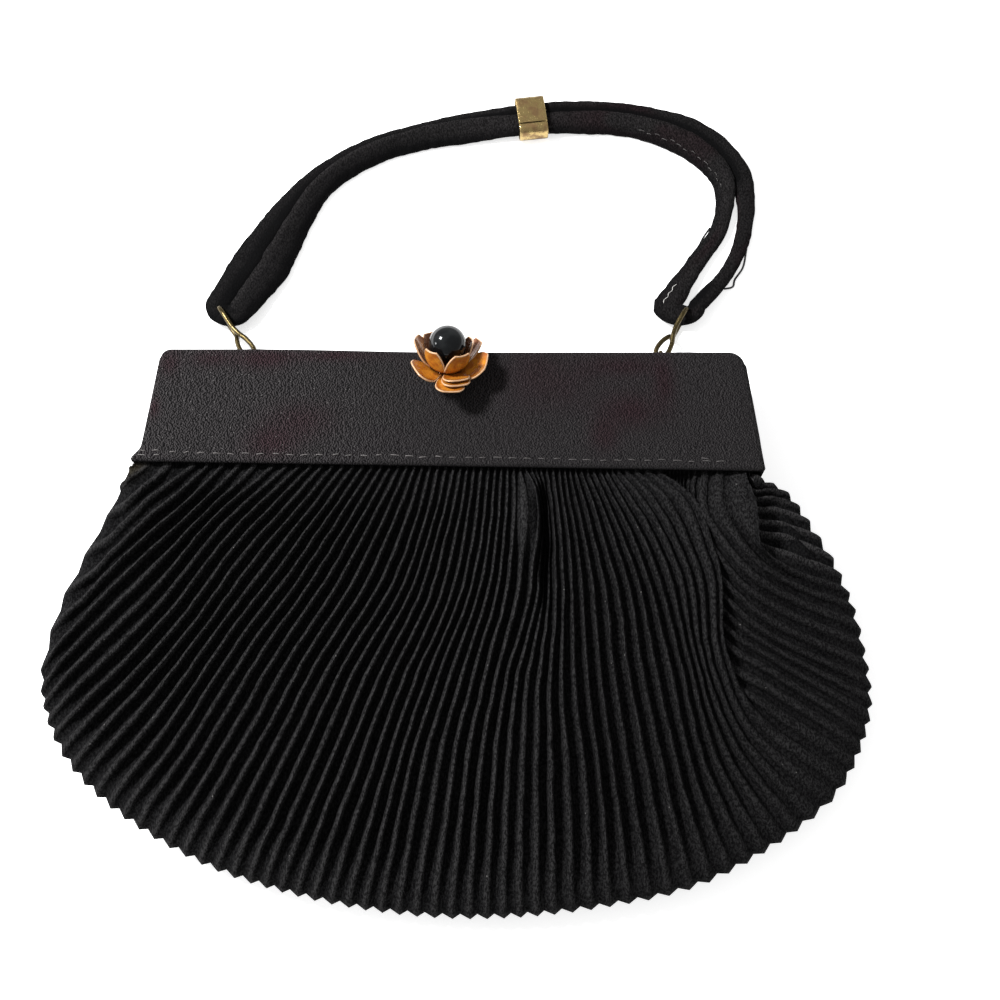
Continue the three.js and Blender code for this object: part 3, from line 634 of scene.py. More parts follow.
class Finish:
    """A procedural material in the making: its wiring and its shader."""

    def __init__(self, name: str) -> None:
        """Make the material with an empty Principled shader.

        Args:
            name: Name of the material.
        """
        self.material = bpy.data.materials.new(name)
        self.material.use_nodes = True
        tree = self.material.node_tree
        tree.nodes.clear()
        self.wiring = Wiring(tree)
        self.shader = self.wiring.add("ShaderNodeBsdfPrincipled")
        out = self.wiring.add("ShaderNodeOutputMaterial")
        tree.links.new(self.shader.outputs[0], out.inputs[0])

    def set(self, name: str, value: object) -> None:
        """Set or link one input of the shader."""
        self.wiring.feed(self.shader.inputs[name], value)

    def mark(self, name: str) -> NodeSocket:
        """Value that the mesh carries under a name."""
        return self.wiring.add("ShaderNodeAttribute", {"attribute_name": name}).outputs["Fac"]

    def bump(self, height: object, distance: float, strength: float) -> None:
        """Give the surface relief from a height.

        Args:
            height: Socket with the height.
            distance: Depth of the relief in metres.
            strength: Share of it that shows.
        """
        inputs = {"Height": height, "Distance": distance, "Strength": strength}
        self.set("Normal", self.wiring.add("ShaderNodeBump", None, **inputs).outputs[0])


# Heights of the crape grain at its low and its high places.
GRAIN: Span = (0.3, 0.7)


@dataclass(frozen=True)
class Crape:
    """Charcoal crape with a grainy weave, faint red-brown patches, pale flecks and painted shade where the
    mesh's shade mark asks.
    """

    name: str = "crape"
    dark: Colour = (0.003, 0.0028, 0.003, 1)
    pale: Colour = (0.0375, 0.0348, 0.0359, 1)
    faded: Colour = (1.0, 0.64, 0.72, 1)
    fleck: Colour = (0.2, 0.193, 0.187, 1)
    # Dark colour of the slub streaks, and of the painted shade that the shade mark lays on.
    edge: Colour = (0.0018, 0.0018, 0.002, 1)
    fineness: float = 1.5
    crinkle: float = 0.5
    flecks: float = 0.36
    lit: Span = (0.09, 0.52)
    slubs: float = 0.25
    patchy: Span = (0.35, 0.6)
    patch_least: float = 0.65
    lint_size: float = 2.3
    lint_amount: float = 0.3
    roughness: Span = (0.95, 0.8)
    gloss: float = 0.04
    relief: Span = (0.0004, 0.6)

    def build(self, effects: Effects) -> Material:
        """Lay out the material.

        Args:
            effects: The shared node groups.

        Returns:
            The finished material.
        """
        finish = Finish(self.name)
        wiring = finish.wiring
        grain = wiring.group(effects.grain, Fineness=self.fineness)
        lint = wiring.group(effects.lint, Size=self.lint_size, Amount=self.lint_amount)
        crinkle = wiring.math("MULTIPLY", grain.outputs["Height"], self.crinkle)
        woven = wiring.math("MULTIPLY_ADD", grain.outputs["Rib"], finish.mark("ribbed"), crinkle)
        colour = wiring.blend(wiring.ease(woven, *self.lit), self.dark, self.pale)
        slub = wiring.math("MULTIPLY", grain.outputs["Slub"], self.slubs)
        colour = wiring.blend(slub, colour, self.edge)
        patch = wiring.ease(grain.outputs["Patch"], *self.patchy, self.patch_least, 1.0)
        stain = wiring.math("MULTIPLY", finish.mark("stain"), patch)
        colour = wiring.blend(stain, colour, self.faded, "MULTIPLY")
        flecked = wiring.math("MULTIPLY", finish.mark("ribbed"), self.flecks)
        speck = wiring.math("MULTIPLY", lint.outputs["Speck"], flecked)
        colour = wiring.blend(speck, colour, self.fleck)
        # Painted shade: the shade mark darkens the colour towards the dark edge colour.
        colour = wiring.blend(finish.mark("shade"), colour, self.edge)
        finish.set("Base Color", colour)
        finish.set("Roughness", wiring.ease(grain.outputs["Height"], *GRAIN, *self.roughness))
        finish.set("Specular IOR Level", self.gloss)
        finish.bump(grain.outputs["Height"], *self.relief)
        return finish.material


@dataclass(frozen=True)
class PleatedCloth:
    """Black pleated cloth: ridges rubbed grey, valleys darkened, partly as real wear and partly as painted
    shade, and specks of lint.

    The mesh marks its plain side, the ridges that get painted light, and the browned corner.
    """

    name: str = "pleated_cloth"
    # Valley colours that the fold mark blends to: partly the cloth's real darker valleys, partly painted
    # shade in them.
    valley: Colour = (0.0022, 0.0022, 0.0024, 1)
    nap: Colour = (0.0105, 0.0104, 0.0108, 1)
    ridge: Colour = (0.0052, 0.0051, 0.0053, 1)
    rubbed: Colour = (0.0255, 0.025, 0.0255, 1)
    plain: Colour = (0.0028, 0.0027, 0.0029, 1)
    worn: Colour = (0.0145, 0.0142, 0.0146, 1)
    # Multiplier of the painted light that brightens the ridges where the mesh marks them.
    painted_light: Colour = (2.4, 2.35, 2.35, 1)
    brown: Colour = (0.009, 0.0072, 0.0042, 1)
    tan: Colour = (0.03, 0.026, 0.017, 1)
    lint: Colour = (0.16, 0.155, 0.15, 1)
    fineness: float = 0.85
    lint_size: float = 1.9
    lint_amount: float = 0.02
    lint_folds: Span = (0.5, 0.2)
    lint_most: float = 0.7
    rub: Span = (0.42, 0.6)
    fray: float = 0.5
    depth: Span = (0.22, 1.05)
    roughness: Span = (0.98, 0.85)
    gloss: float = 0.02
    relief: Span = (0.0007, 0.8)

    def build(self, effects: Effects) -> Material:
        """Lay out the material.

        Args:
            effects: The shared node groups.

        Returns:
            The finished material.
        """
        finish = Finish(self.name)
        wiring = finish.wiring
        grain = wiring.group(effects.grain, Fineness=self.fineness)
        lint = wiring.group(effects.lint, Size=self.lint_size, Amount=self.lint_amount)
        rub = wiring.ease(grain.outputs["Height"], *self.rub)
        colour = wiring.blend(rub, self.ridge, self.rubbed)
        # Painted shade, partly real wear: the fold mark darkens the colour towards the valley colours.
        frayed = wiring.math("MULTIPLY_ADD", grain.outputs["Height"], self.fray, finish.mark("fold"))
        depth = wiring.ease(frayed, *self.depth)
        colour = wiring.blend(depth, colour, wiring.blend(rub, self.valley, self.nap))
        colour = wiring.blend(finish.mark("plain"), colour, wiring.blend(rub, self.plain, self.worn))
        # Painted light: ridges that the mesh marks are made brighter.
        colour = wiring.blend(finish.mark("painted_light"), colour, self.painted_light, "MULTIPLY")
        colour = wiring.blend(finish.mark("browned"), colour, wiring.blend(rub, self.brown, self.tan))
        caught = wiring.ease(finish.mark("fold"), *self.lint_folds, 0.0, self.lint_most)
        speck = wiring.math("MULTIPLY", lint.outputs["Speck"], caught)
        colour = wiring.blend(speck, colour, self.lint)
        finish.set("Base Color", colour)
        finish.set("Roughness", wiring.ease(grain.outputs["Height"], *GRAIN, *self.roughness))
        finish.set("Specular IOR Level", self.gloss)
        finish.bump(grain.outputs["Height"], *self.relief)
        return finish.material


@dataclass(frozen=True)
class Enamel:
    """Amber enamel on the petals, coppery in the hollows, with pale raised rims; the copper is partly bare
    metal and partly painted shade in crevices and under petals.
    """

    name: str = "amber_enamel"
    amber: Colour = (0.3, 0.08, 0.006, 1)
    light: Colour = (0.48, 0.185, 0.02, 1)
    copper_and_shade: Colour = (0.1, 0.03, 0.006, 1)
    rim: Colour = (0.52, 0.31, 0.17, 1)
    stains: float = 420.0
    copper_and_shade_ease: Span = (0.15, 0.9)
    pits: float = 0.3
    bare: float = 0.5
    roughness: Span = (0.2, 0.38)
    coat: Span = (0.2, 0.1)
    relief: Span = (0.0001, 0.3)

    def build(self, effects: Effects) -> Material:
        """Lay out the material.

        Args:
            effects: The shared node groups.

        Returns:
            The finished material.
        """
        finish = Finish(self.name)
        wiring = finish.wiring
        age = wiring.group(effects.ageing, Scale=self.stains)
        colour = wiring.blend(age.outputs["Stain"], self.light, self.amber)
        # Painted shade, partly real bare copper: the hollow mark darkens crevices, petal feet and undersides
        # to copper.
        colour = wiring.blend(wiring.ease(finish.mark("hollow"), *self.copper_and_shade_ease), colour, self.copper_and_shade)
        colour = wiring.blend(finish.mark("rim"), colour, self.rim)
        pits = wiring.math("MULTIPLY", age.outputs["Pits"], self.pits)
        finish.set("Base Color", wiring.blend(pits, colour, self.copper_and_shade))
        finish.set("Roughness", wiring.ease(age.outputs["Stain"], *FULL, *self.roughness))
        finish.set("Metallic", wiring.math("MULTIPLY", finish.mark("hollow"), self.bare))
        finish.set("Coat Weight", wiring.ease(finish.mark("rim"), *FULL, *self.coat))
        finish.bump(age.outputs["Pits"], *self.relief)
        return finish.material


@dataclass(frozen=True)
class BlackGlass:
    """Glossy black bead with a faint bloom of handling."""

    name: str = "black_glass"
    body: Colour = (0.003, 0.0033, 0.0038, 1)
    bloom: Colour = (0.009, 0.0098, 0.0102, 1)
    gleam: Colour = (0.4, 0.41, 0.42, 1)
    stains: float = 220.0
    roughness: Span = (0.09, 0.13)

    def build(self, effects: Effects) -> Material:
        """Lay out the material.

        Args:
            effects: The shared node groups.

        Returns:
            The finished material.
        """
        finish = Finish(self.name)
        wiring = finish.wiring
        age = wiring.group(effects.ageing, Scale=self.stains)
        finish.set("Base Color", wiring.blend(age.outputs["Stain"], self.body, self.bloom))
        finish.set("Roughness", wiring.ease(age.outputs["Stain"], *FULL, *self.roughness))
        finish.set("Specular Tint", self.gleam)
        return finish.material


@dataclass(frozen=True)
class AgedBrass:
    """Pale brass with brown and olive tarnish, bright rubbed edges and painted shade where it turns away
    from view.
    """

    name: str = "aged_brass"
    bright: Colour = (0.42, 0.31, 0.13, 1)
    olive: Colour = (0.075, 0.057, 0.024, 1)
    brown: Colour = (0.2, 0.125, 0.06, 1)
    # Colour of the painted shade where the brass turns away from view.
    painted_edge_shade: Colour = (0.03, 0.02, 0.009, 1)
    stains: float = 330.0
    pits: float = 0.8
    turning: float = 0.4
    aside: Span = (0.35, 0.9)
    deepest_edge_shade: float = 0.85
    metal: Span = (1.0, 0.6)
    roughness: Span = (0.26, 0.46)
    relief: Span = (0.0001, 0.4)

    def build(self, effects: Effects) -> Material:
        """Lay out the material.

        Args:
            effects: The shared node groups.

        Returns:
            The finished material.
        """
        finish = Finish(self.name)
        wiring = finish.wiring
        age = wiring.group(effects.ageing, Scale=self.stains)
        colour = wiring.blend(age.outputs["Stain"], self.bright, self.brown)
        pits = wiring.math("MULTIPLY", age.outputs["Pits"], self.pits)
        colour = wiring.blend(pits, colour, self.olive)
        colour = wiring.blend(finish.mark("stain"), colour, self.olive)
        colour = wiring.blend(finish.mark("rubbed"), colour, self.bright)
        # Painted shade: the colour darkens where the surface turns away from the viewer.
        facing = wiring.add("ShaderNodeLayerWeight", None, Blend=self.turning).outputs["Facing"]
        painted_edge_shade = wiring.ease(facing, *self.aside, 0.0, self.deepest_edge_shade)
        finish.set("Base Color", wiring.blend(painted_edge_shade, colour, self.painted_edge_shade))
        finish.set("Metallic", wiring.ease(age.outputs["Pits"], *FULL, *self.metal))
        finish.set("Roughness", wiring.ease(age.outputs["Stain"], *FULL, *self.roughness))
        finish.bump(age.outputs["Pits"], *self.relief)
        return finish.material


@dataclass(frozen=True)
class Steel:
    """Dull steel of the hidden hinge plates, brushed along their length."""

    name: str = "hinge_steel"
    pale: Colour = (0.42, 0.42, 0.41, 1)
    dark: Colour = (0.2, 0.195, 0.19, 1)
    stains: float = 260.0
    brushing: Point = (4000, 300, 4000)
    brushed: Span = (0.3, 0.7)
    metal: Span = (1.0, 0.8)
    roughness: Span = (0.35, 0.55)
    relief: Span = (0.0001, 0.3)

    def build(self, effects: Effects) -> Material:
        """Lay out the material.

        Args:
            effects: The shared node groups.

        Returns:
            The finished material.
        """
        finish = Finish(self.name)
        wiring = finish.wiring
        age = wiring.group(effects.ageing, Scale=self.stains)
        brushed = wiring.noise(wiring.stretch(wiring.spot(), self.brushing), 1.0)
        finish.set("Base Color", wiring.blend(age.outputs["Stain"], self.pale, self.dark))
        finish.set("Metallic", wiring.ease(age.outputs["Pits"], *FULL, *self.metal))
        finish.set("Roughness", wiring.ease(brushed, *self.brushed, *self.roughness))
        finish.bump(brushed, *self.relief)
        return finish.material


@dataclass(frozen=True)
class Thread:
    """Cotton sewing thread with a twist along it."""

    name: str
    pale: Colour
    dark: Colour
    fineness: float = 1.8
    twist: Span = (0.38, 0.62)
    roughness: Span = (0.9, 0.7)
    gloss: float = 0.2
    relief: Span = (0.0002, 0.6)

    def build(self, effects: Effects) -> Material:
        """Lay out the material.

        Args:
            effects: The shared node groups.

        Returns:
            The finished material.
        """
        finish = Finish(self.name)
        wiring = finish.wiring
        grain = wiring.group(effects.grain, Fineness=self.fineness)
        twist = wiring.ease(grain.outputs["Height"], *self.twist)
        finish.set("Base Color", wiring.blend(twist, self.dark, self.pale))
        finish.set("Roughness", wiring.ease(grain.outputs["Height"], *GRAIN, *self.roughness))
        finish.set("Specular IOR Level", self.gloss)
        finish.bump(grain.outputs["Height"], *self.relief)
        return finish.material


@dataclass(frozen=True)
class PaleFloor:
    """Plain white light table with a barely uneven surface."""

    name: str = "pale_floor"
    white: Colour = (0.9, 0.9, 0.9, 1)
    off_white: Colour = (0.88, 0.88, 0.88, 1)
    glow: float = 0.7
    unevenness: float = 3.0
    roughness: float = 0.9
    gloss: float = 0.1

    def build(self) -> Material:
        """Lay out the material.

        Returns:
            The finished material.
        """
        finish = Finish(self.name)
        wiring = finish.wiring
        uneven = wiring.noise(wiring.spot(), self.unevenness)
        finish.set("Base Color", wiring.blend(uneven, self.white, self.off_white))
        finish.set("Roughness", self.roughness)
        finish.set("Specular IOR Level", self.gloss)
        finish.set("Emission Color", self.white)
        finish.set("Emission Strength", self.glow)
        return finish.material


class Finishes:
    """All materials of the bag, built once."""

    def __init__(self) -> None:
        """Build every material."""
        effects = Effects()
        strap = Crape(
            "strap_crape",
            dark=(0.003, 0.0028, 0.0029, 1),
            pale=(0.02, 0.0186, 0.019, 1),
            fineness=1.0,
            crinkle=1.0,
            lit=(0.36, 0.72),
        )
        pale = Thread("pale_thread", (0.19, 0.178, 0.174, 1), (0.05, 0.046, 0.046, 1))
        dull = Thread("dull_thread", (0.11, 0.104, 0.102, 1), (0.035, 0.032, 0.032, 1))
        white = Thread("white_thread", (0.75, 0.73, 0.7, 1), (0.4, 0.39, 0.38, 1))
        black = Thread("black_thread", (0.02, 0.02, 0.02, 1), (0.005, 0.005, 0.005, 1))
        self.crape = Crape().build(effects)
        self.strap_crape = strap.build(effects)
        self.pleated_cloth = PleatedCloth().build(effects)
        self.enamel = Enamel().build(effects)
        self.glass = BlackGlass().build(effects)
        self.brass = AgedBrass().build(effects)
        self.steel = Steel().build(effects)
        self.pale_thread = pale.build(effects)
        self.dull_thread = dull.build(effects)
        self.black_thread = black.build(effects)
        self.white_thread = white.build(effects)


def place(piece: Object, slot: str, *nodes: str) -> None:
    """Tie a piece to the model: its body, and hide the solids that it stands for.

    Args:
        piece: The piece.
        slot: Material slot of the record; not used.
        nodes: Solids that it replaces.
    """
    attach(piece, "root")
    if nodes:
        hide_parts(*nodes)
    log.info("%s: %d faces", piece.name, len(piece.data.polygons))


# Red-brown faded places on the frame: middle and reach along and up.
FADED = (
    (-44.6, 4.6, 9.0, 5.0),
    (-53.0, -2.2, 7.0, 4.5),
    (-72.7, 25.0, 6.0, 2.6),
    (-57.0, 24.5, 8.0, 3.2),
    (-38.0, 25.8, 16.0, 1.8),
    (-84.8, 24.0, 3.0, 4.0),
    (-88.0, 9.0, 1.6, 3.0),
    (26.8, 17.7, 12.0, 9.0),
    (50.0, 22.5, 10.0, 3.5),
    (61.9, 17.0, 3.2, 8.0),
    (52.0, 8.0, 9.0, 6.0),
    (43.5, 0.0, 4.0, 5.0),
)

# Slack creases of the frame's cover: seed, depth, and length along and up.
CREASES = ((1, 0.1, 9.0, 7.0), (2, 0.05, 3.5, 5.0))

# Rows of stitches on the frame: first and last place along it, height over the long row, and thread.
STITCH_ROWS = (
    (-80.0, 2.0, 0.0, FrameThread.PALE),
    (2.0, 84.0, -0.2, FrameThread.DULL),
    (-90.5, -80.5, -0.9, FrameThread.PALE),
    (-89.5, -79.0, 0.55, FrameThread.PALE),
    (73.0, 80.0, 0.9, FrameThread.DULL),
)


@dataclass
class CoveredFrame:
    """The covered box frame in two halves, open towards the pouch, with its sewing."""

    finishes: Finishes
    top_y: float = 27.4
    top_half: float = 86.4
    left_out: float = 1.4
    left_flare: float = 1.7
    left_flare_y: float = -2.8
    left_lift: float = 1.05
    left_x: float = -60.0
    right_in: float = 0.9
    waist_y: float = -3.0
    waist_half: float = 89.6
    hem_half: float = 91.0
    hem_flare: float = 0.6
    hem_flare_above: float = 2.0
    hem_left_y: float = -7.7
    hem_right_y: float = -10.8
    depth: float = 23.5
    wall: float = 2.4
    corner: float = 3.0
    right_corner: float = 4.6
    hem_corner: float = 0.9
    edge: float = 1.5
    parting_gap: float = 0.6
    spine_half: float = 76.0
    spine_y: float = 8.6
    along: int = 240
    up_side: int = 26
    round_corner: int = 8
    edge_steps: int = 7
    wall_steps: int = 4
    face_steps: int = 15
    side_spacing: float = 1.4
    face_spacing: float = 1.25
    spine_fade: float = 0.93
    # How far below the top the hem's rolled edge turns dark: painted shade.
    shaded: Span = (0.4, 1.6)
    line_sink: float = 0.16
    line_reach: float = 0.8
    line_pull: Span = (0.5, 1.3)
    slack: float = 0.1
    rim_sink: float = 0.22
    rim_reach: float = 5.0
    stitch_height: float = 2.7
    stitch_length: float = 2.7
    stitch_gap: float = 1.6
    stitch_shares: Span = (0.6, 1.05)
    stray_along: float = 0.22
    stray_up: float = 0.14
    slant: float = 0.12
    stitch_lift: float = 0.12
    stitch_dive: float = 0.3
    stitch_points: int = 7
    thread: float = 0.14
    thread_sides: int = 6
    left_rib: float = 1.4
    right_rib: float = 0.35

    def lower_edge(self, x: Array | float) -> Array:
        """Height of the slanting lower edge at places along the frame."""
        share = (np.asarray(x) + self.hem_half) / (2 * self.hem_half)
        return mix(self.hem_left_y, self.hem_right_y, share)

    def side_half(self, y: Array) -> Array:
        """Half width of the frame, flaring near the hem.

        Args:
            y: Heights on the frame.

        Returns:
            The half width at each height.
        """
        slope = (self.waist_half - self.top_half) / (self.top_y - self.waist_y)
        low = smooth(y, self.waist_y + self.hem_flare_above, self.hem_right_y)
        flare = (self.hem_half - self.waist_half) * self.hem_flare * low
        return self.top_half + slope * (self.top_y - y) + flare

    def outline(self) -> tuple[Array, Array, Array]:
        """Closed outline of the front, counter-clockwise from the left end of the hem.

        Returns:
            Its points, the spine point that each belongs to, and whether it is on the hem.
        """
        share = np.linspace(0, 1, self.along)
        left_end = self.hem_corner - self.hem_half - self.left_out - self.left_flare
        hem_x = mix(left_end, self.hem_half - self.hem_corner - self.right_in, share)
        hem = np.stack([hem_x, self.lower_edge(hem_x)], axis=1)
        spine_x = mix(-self.spine_half, self.spine_half, share)
        hem_spine = np.stack([spine_x, np.full(self.along, self.spine_y)], axis=1)
        low = self.hem_right_y + self.hem_corner
        rise = np.linspace(0, 1, self.up_side) ** self.side_spacing
        right_y = mix(low, self.top_y - self.right_corner, rise)
        right_x = self.side_half(right_y) - self.right_in * smooth(right_y, 0, self.hem_right_y)
        right = np.stack([right_x, right_y], axis=1)
        turn = np.linspace(0, np.pi / 2, self.round_corner + 2)[1:-1]
        top_corner = np.array([self.top_half, self.top_y])
        bend = np.stack([np.cos(turn), np.sin(turn)], axis=1) - 1
        corner = top_corner + self.right_corner * bend
        top_left = self.corner - self.top_half - self.left_out
        top_x = mix(self.top_half - self.right_corner, top_left, share)
        top = np.stack([top_x, np.full(self.along, self.top_y)], axis=1)
        left_y = mix(self.hem_left_y + self.hem_corner, self.top_y - self.corner, rise)[::-1]
        flare = self.left_flare * smooth(left_y, self.left_flare_y, self.hem_left_y + self.hem_corner)
        left = np.stack([-self.side_half(left_y) - self.left_out - flare, left_y], axis=1)
        mirrored = (top_corner + self.corner * bend[::-1]) * [-1, 1] - [self.left_out, 0]
        points = np.concatenate([hem, right, corner, top, mirrored, left])
        raised = smooth(points[:, 1], self.spine_y, self.top_y)
        points[:, 1] += self.left_lift * smooth(points[:, 0], 0, self.left_x) * raised
        end = np.array([[self.spine_half, self.spine_y]])
        count = self.up_side + self.round_corner
        right_spine = np.repeat(end, count, axis=0)
        spine = np.concatenate([hem_spine, right_spine, hem_spine[::-1], right_spine * [-1, 1]])
        on_hem = np.arange(len(points)) < self.along
        return points, spine, on_hem

    def sewn_dip(self, points: Array) -> Array:
        """How far the cloth sinks along the sewn line and between its padded places.

        Args:
            points: Places on the face.

        Returns:
            Depths, 0 or more.
        """
        x, y = points[..., 0], points[..., 1]
        above = y - self.lower_edge(x) - self.stitch_height
        pitch = self.stitch_length + self.stitch_gap
        pull = 0.5 + 0.5 * np.cos(2 * np.pi * (x / pitch - 0.5))
        line = self.line_sink * np.exp(-((above / self.line_reach) ** 2)) * mix(*self.line_pull, pull)
        creases = sum(deep * Wobble(seed).at(x / along, y / up) for seed, deep, along, up in CREASES)
        rim = self.rim_sink * (1 - smooth(self.inside(points), 0, self.rim_reach))
        return line + self.slack + creases + rim

    def inside(self, points: Array) -> Array:
        """Distance of places on the face from the frame's nearest edge."""
        x, y = points[..., 0], points[..., 1]
        return np.minimum.reduce([self.top_y - y, y - self.lower_edge(x), self.side_half(y) - np.abs(x)])

    def stains(self, points: Array) -> Array:
        """How far places on the face are faded to red-brown, from 0 to 1."""
        x, y = points[..., 0], points[..., 1]
        return sum(np.exp(-(((x - sx) / rx) ** 2) - ((y - sy) / ry) ** 2) for sx, sy, rx, ry in FADED)

    def half_grid(self) -> tuple[Array, Array]:
        """Skin of the front half: wall, rounded edge, face, and the same again inside.

        Returns:
            Points by outline and profile, and how much each is darkened as painted shade on the hem's rolled
            edge.
        """
        points, spine, on_hem = self.outline()
        tangent = np.roll(points, -1, axis=0) - np.roll(points, 1, axis=0)
        inward = unit(np.stack([-tangent[:, 1], tangent[:, 0]], axis=1))
        parting = (self.depth + self.parting_gap) / 2
        top = self.depth
        edge = self.edge
        turn = np.linspace(0, np.pi / 2, self.edge_steps)
        wall_z = np.linspace(parting, top - edge, self.wall_steps + 1)[:-1]
        wall = np.stack([np.zeros(self.wall_steps), wall_z], axis=1)
        bend = np.stack([edge * (1 - np.cos(turn)), top - edge * (1 - np.sin(turn))], axis=1)
        roll = self.wall / 2
        roll_turn = np.linspace(-np.pi / 2, np.pi / 2, self.edge_steps + self.wall_steps)
        roll_z = top - roll + roll * np.sin(roll_turn)
        hem_roll = np.stack([roll * (1 - np.cos(roll_turn)), roll_z], axis=1)
        profile = np.where(on_hem[:, None, None], hem_roll, np.concatenate([wall, bend]))
        outer = points[:, None] + inward[:, None] * profile[..., :1]
        outer = np.concatenate([outer, profile[..., 1:]], axis=2)
        share = (np.linspace(0, 1, self.face_steps + 1)[1:] ** self.face_spacing)[None, :, None]
        face = mix(outer[:, -1:, :2], spine[:, None], share)
        fade = smooth(share[..., 0], 1, self.spine_fade)
        outer[..., 2] -= self.sewn_dip(outer[..., :2]) * smooth(outer[..., 2], top - edge, top)
        dip = self.sewn_dip(face) * fade
        face = np.concatenate([face, (top - dip)[..., None]], axis=2)
        ceiling = top - self.wall
        inset = np.where(on_hem, roll, self.wall)[:, None]
        inner_edge = points + inward * inset
        inner_face = mix(inner_edge[:, None], spine[:, None], np.linspace(1, 0, 3)[None, :, None])
        inner_face = np.concatenate([inner_face, np.full(inner_face.shape[:2] + (1,), ceiling)], axis=2)
        low = np.where(on_hem, ceiling, parting)
        drop = np.concatenate([inner_edge, low[:, None]], axis=1)[:, None]
        grid = np.concatenate([outer, face, inner_face, drop], axis=1)
        shade = np.zeros(grid.shape[:2])
        # Painted shade: the hem's roll darkens as it turns down from the top.
        shade[:, : outer.shape[1]] = on_hem[:, None] * smooth(top - outer[..., 2], *self.shaded)
        return grid, shade

    def half(self, which: Half) -> None:
        """Build one half of the frame.

        Args:
            which: The front or the back half.
        """
        grid, shade = self.half_grid()
        if which is Half.BACK:
            grid = grid * [1, 1, -1] + [0, 0, self.depth]
        ribbed = mix(self.left_rib, self.right_rib, smooth(grid[..., 0], self.left_x, 0))
        marks = {"shade": shade, "stain": np.clip(self.stains(grid), 0, 1), "ribbed": ribbed}
        parts = MeshParts(*marks)
        parts.add_grid(grid, ring=True, loop=True, flip=which is Half.BACK, **marks)
        place(parts.piece(f"{which.value}_cover", [self.finishes.crape]), "crape", which.value)

    def row_of_stitches(
        self, parts: MeshParts, start: float, end: float, height: float, skin: FrameThread
    ) -> None:
        """Sew one row of stitches on the face.

        Args:
            parts: Mesh that takes the stitches.
            start: Place along the frame where the row starts.
            end: Place where it ends.
            height: Its height over the lower edge, which also seeds its unevenness.
            skin: Its thread.
        """
        rng = np.random.default_rng(SEED + int(height * 10))
        pitch = self.stitch_length + self.stitch_gap
        first = math.ceil((start / pitch) - 0.5)
        count = int((end - start) / pitch)
        bow = np.linspace(-1, 1, self.stitch_points)
        for k in range(first, first + count):
            middle = k * pitch + rng.normal(0, self.stray_along)
            half = self.stitch_length / 2 * rng.uniform(*self.stitch_shares)
            x = middle + half * bow
            up = height + rng.normal(0, self.stray_up)
            y = self.lower_edge(x) + up + rng.normal(0, self.slant) * bow
            z = self.depth - self.sewn_dip(np.stack([x, y], axis=1))
            path = np.stack([x, y, z + self.stitch_lift - self.stitch_dive * bow**4], axis=1)
            parts.add_tube(path, self.thread, self.thread_sides, skin=skin)

    def stitching(self) -> None:
        """Sew the line above the lower edge, doubled at its ends."""
        parts = MeshParts()
        for start, end, offset, skin in STITCH_ROWS:
            self.row_of_stitches(parts, start, end, self.stitch_height + offset, skin)
        threads = [self.finishes.pale_thread, self.finishes.dull_thread]
        place(parts.piece("frame_stitching", threads), "crape")

    def build(self) -> None:
        """Build both halves, their sewing, and dress the hinge plates."""
        for which in Half:
            self.half(which)
        self.stitching()
        for node in ("hinge_left", "hinge_right"):
            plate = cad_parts[node]
            plate.data.materials.clear()
            plate.data.materials.append(self.finishes.steel)
            log.info("%s: dressed", node)


@dataclass(frozen=True)
class Tuck:
    """A pinched tuck in the pouch's front along a path of points, with a lip on its left."""

    path: tuple[Span, ...]
    sink: float
    lip: float
    reach: float
    lip_at: float = 1.5
    begins: Span = (0.0, 0.12)
    fades: Span = (1.0, 0.6)

    def height(self, x: Array, y: Array) -> Array:
        """Height of the tuck at places seen from the front.

        Args:
            x: Places along the frame.
            y: Places down the pouch.

        Returns:
            Heights, less than 0 where the cloth sinks.
        """
        best = np.full(x.shape, np.inf)
        share = np.zeros(x.shape)
        spans = len(self.path) - 1
        for k in range(spans):
            (ax, ay), (bx, by) = self.path[k], self.path[k + 1]
            along = (x - ax) * (bx - ax) + (y - ay) * (by - ay)
            t = np.clip(along / ((bx - ax) ** 2 + (by - ay) ** 2), 0, 1)
            dx, dy = x - mix(ax, bx, t), y - mix(ay, by, t)
            distance = np.hypot(dx, dy) * np.where(dx >= 0, 1, -1)
            nearer = np.abs(distance) < np.abs(best)
            best = np.where(nearer, distance, best)
            share = np.where(nearer, (k + t) / spans, share)
        fade = smooth(share, *self.fades) * smooth(share, *self.begins)
        near = best / self.reach
        lip = self.lip * np.exp(-((near + self.lip_at) ** 2))
        return fade * (lip - self.sink * np.exp(-near * near))


@dataclass(frozen=True)
class Eased:
    """An oval place where the cloth is pulled smooth and stands up a little."""

    middle: Span
    radii: Span
    smoothed: float
    lift: float

    def nearness(self, x: Array, y: Array) -> Array:
        """Nearness to the middle of the oval, from 0 to 1."""
        (mx, my), (rx, ry) = self.middle, self.radii
        return np.exp(-(((x - mx) / rx) ** 2) - ((y - my) / ry) ** 2)


# Hem of the pouch from the left mouth corner round the bottom to the right one.
HEM = Route([
    (-94.4, -8.8), (-97.0, -12.2), (-99.4, -16.2), (-102.2, -21.6), (-105.6, -28.0), (-109.8, -37.2),
    (-113.0, -44.8), (-115.4, -54.2), (-116.8, -70.0), (-110.2, -87.8), (-96.4, -102.4), (-68.3, -119.0),
    (-40.0, -127.9), (-13.0, -132.4), (11.0, -133.4), (40.0, -130.8), (68.0, -124.8), (95.3, -110.2),
    (107.8, -99.6), (115.4, -86.4), (118.8, -75.0), (118.2, -60.0), (115.8, -45.6), (111.6, -34.4),
    (106.8, -26.0), (102.6, -19.2), (99.0, -14.4), (94.8, -12.0), (90.2, -11.7),
])

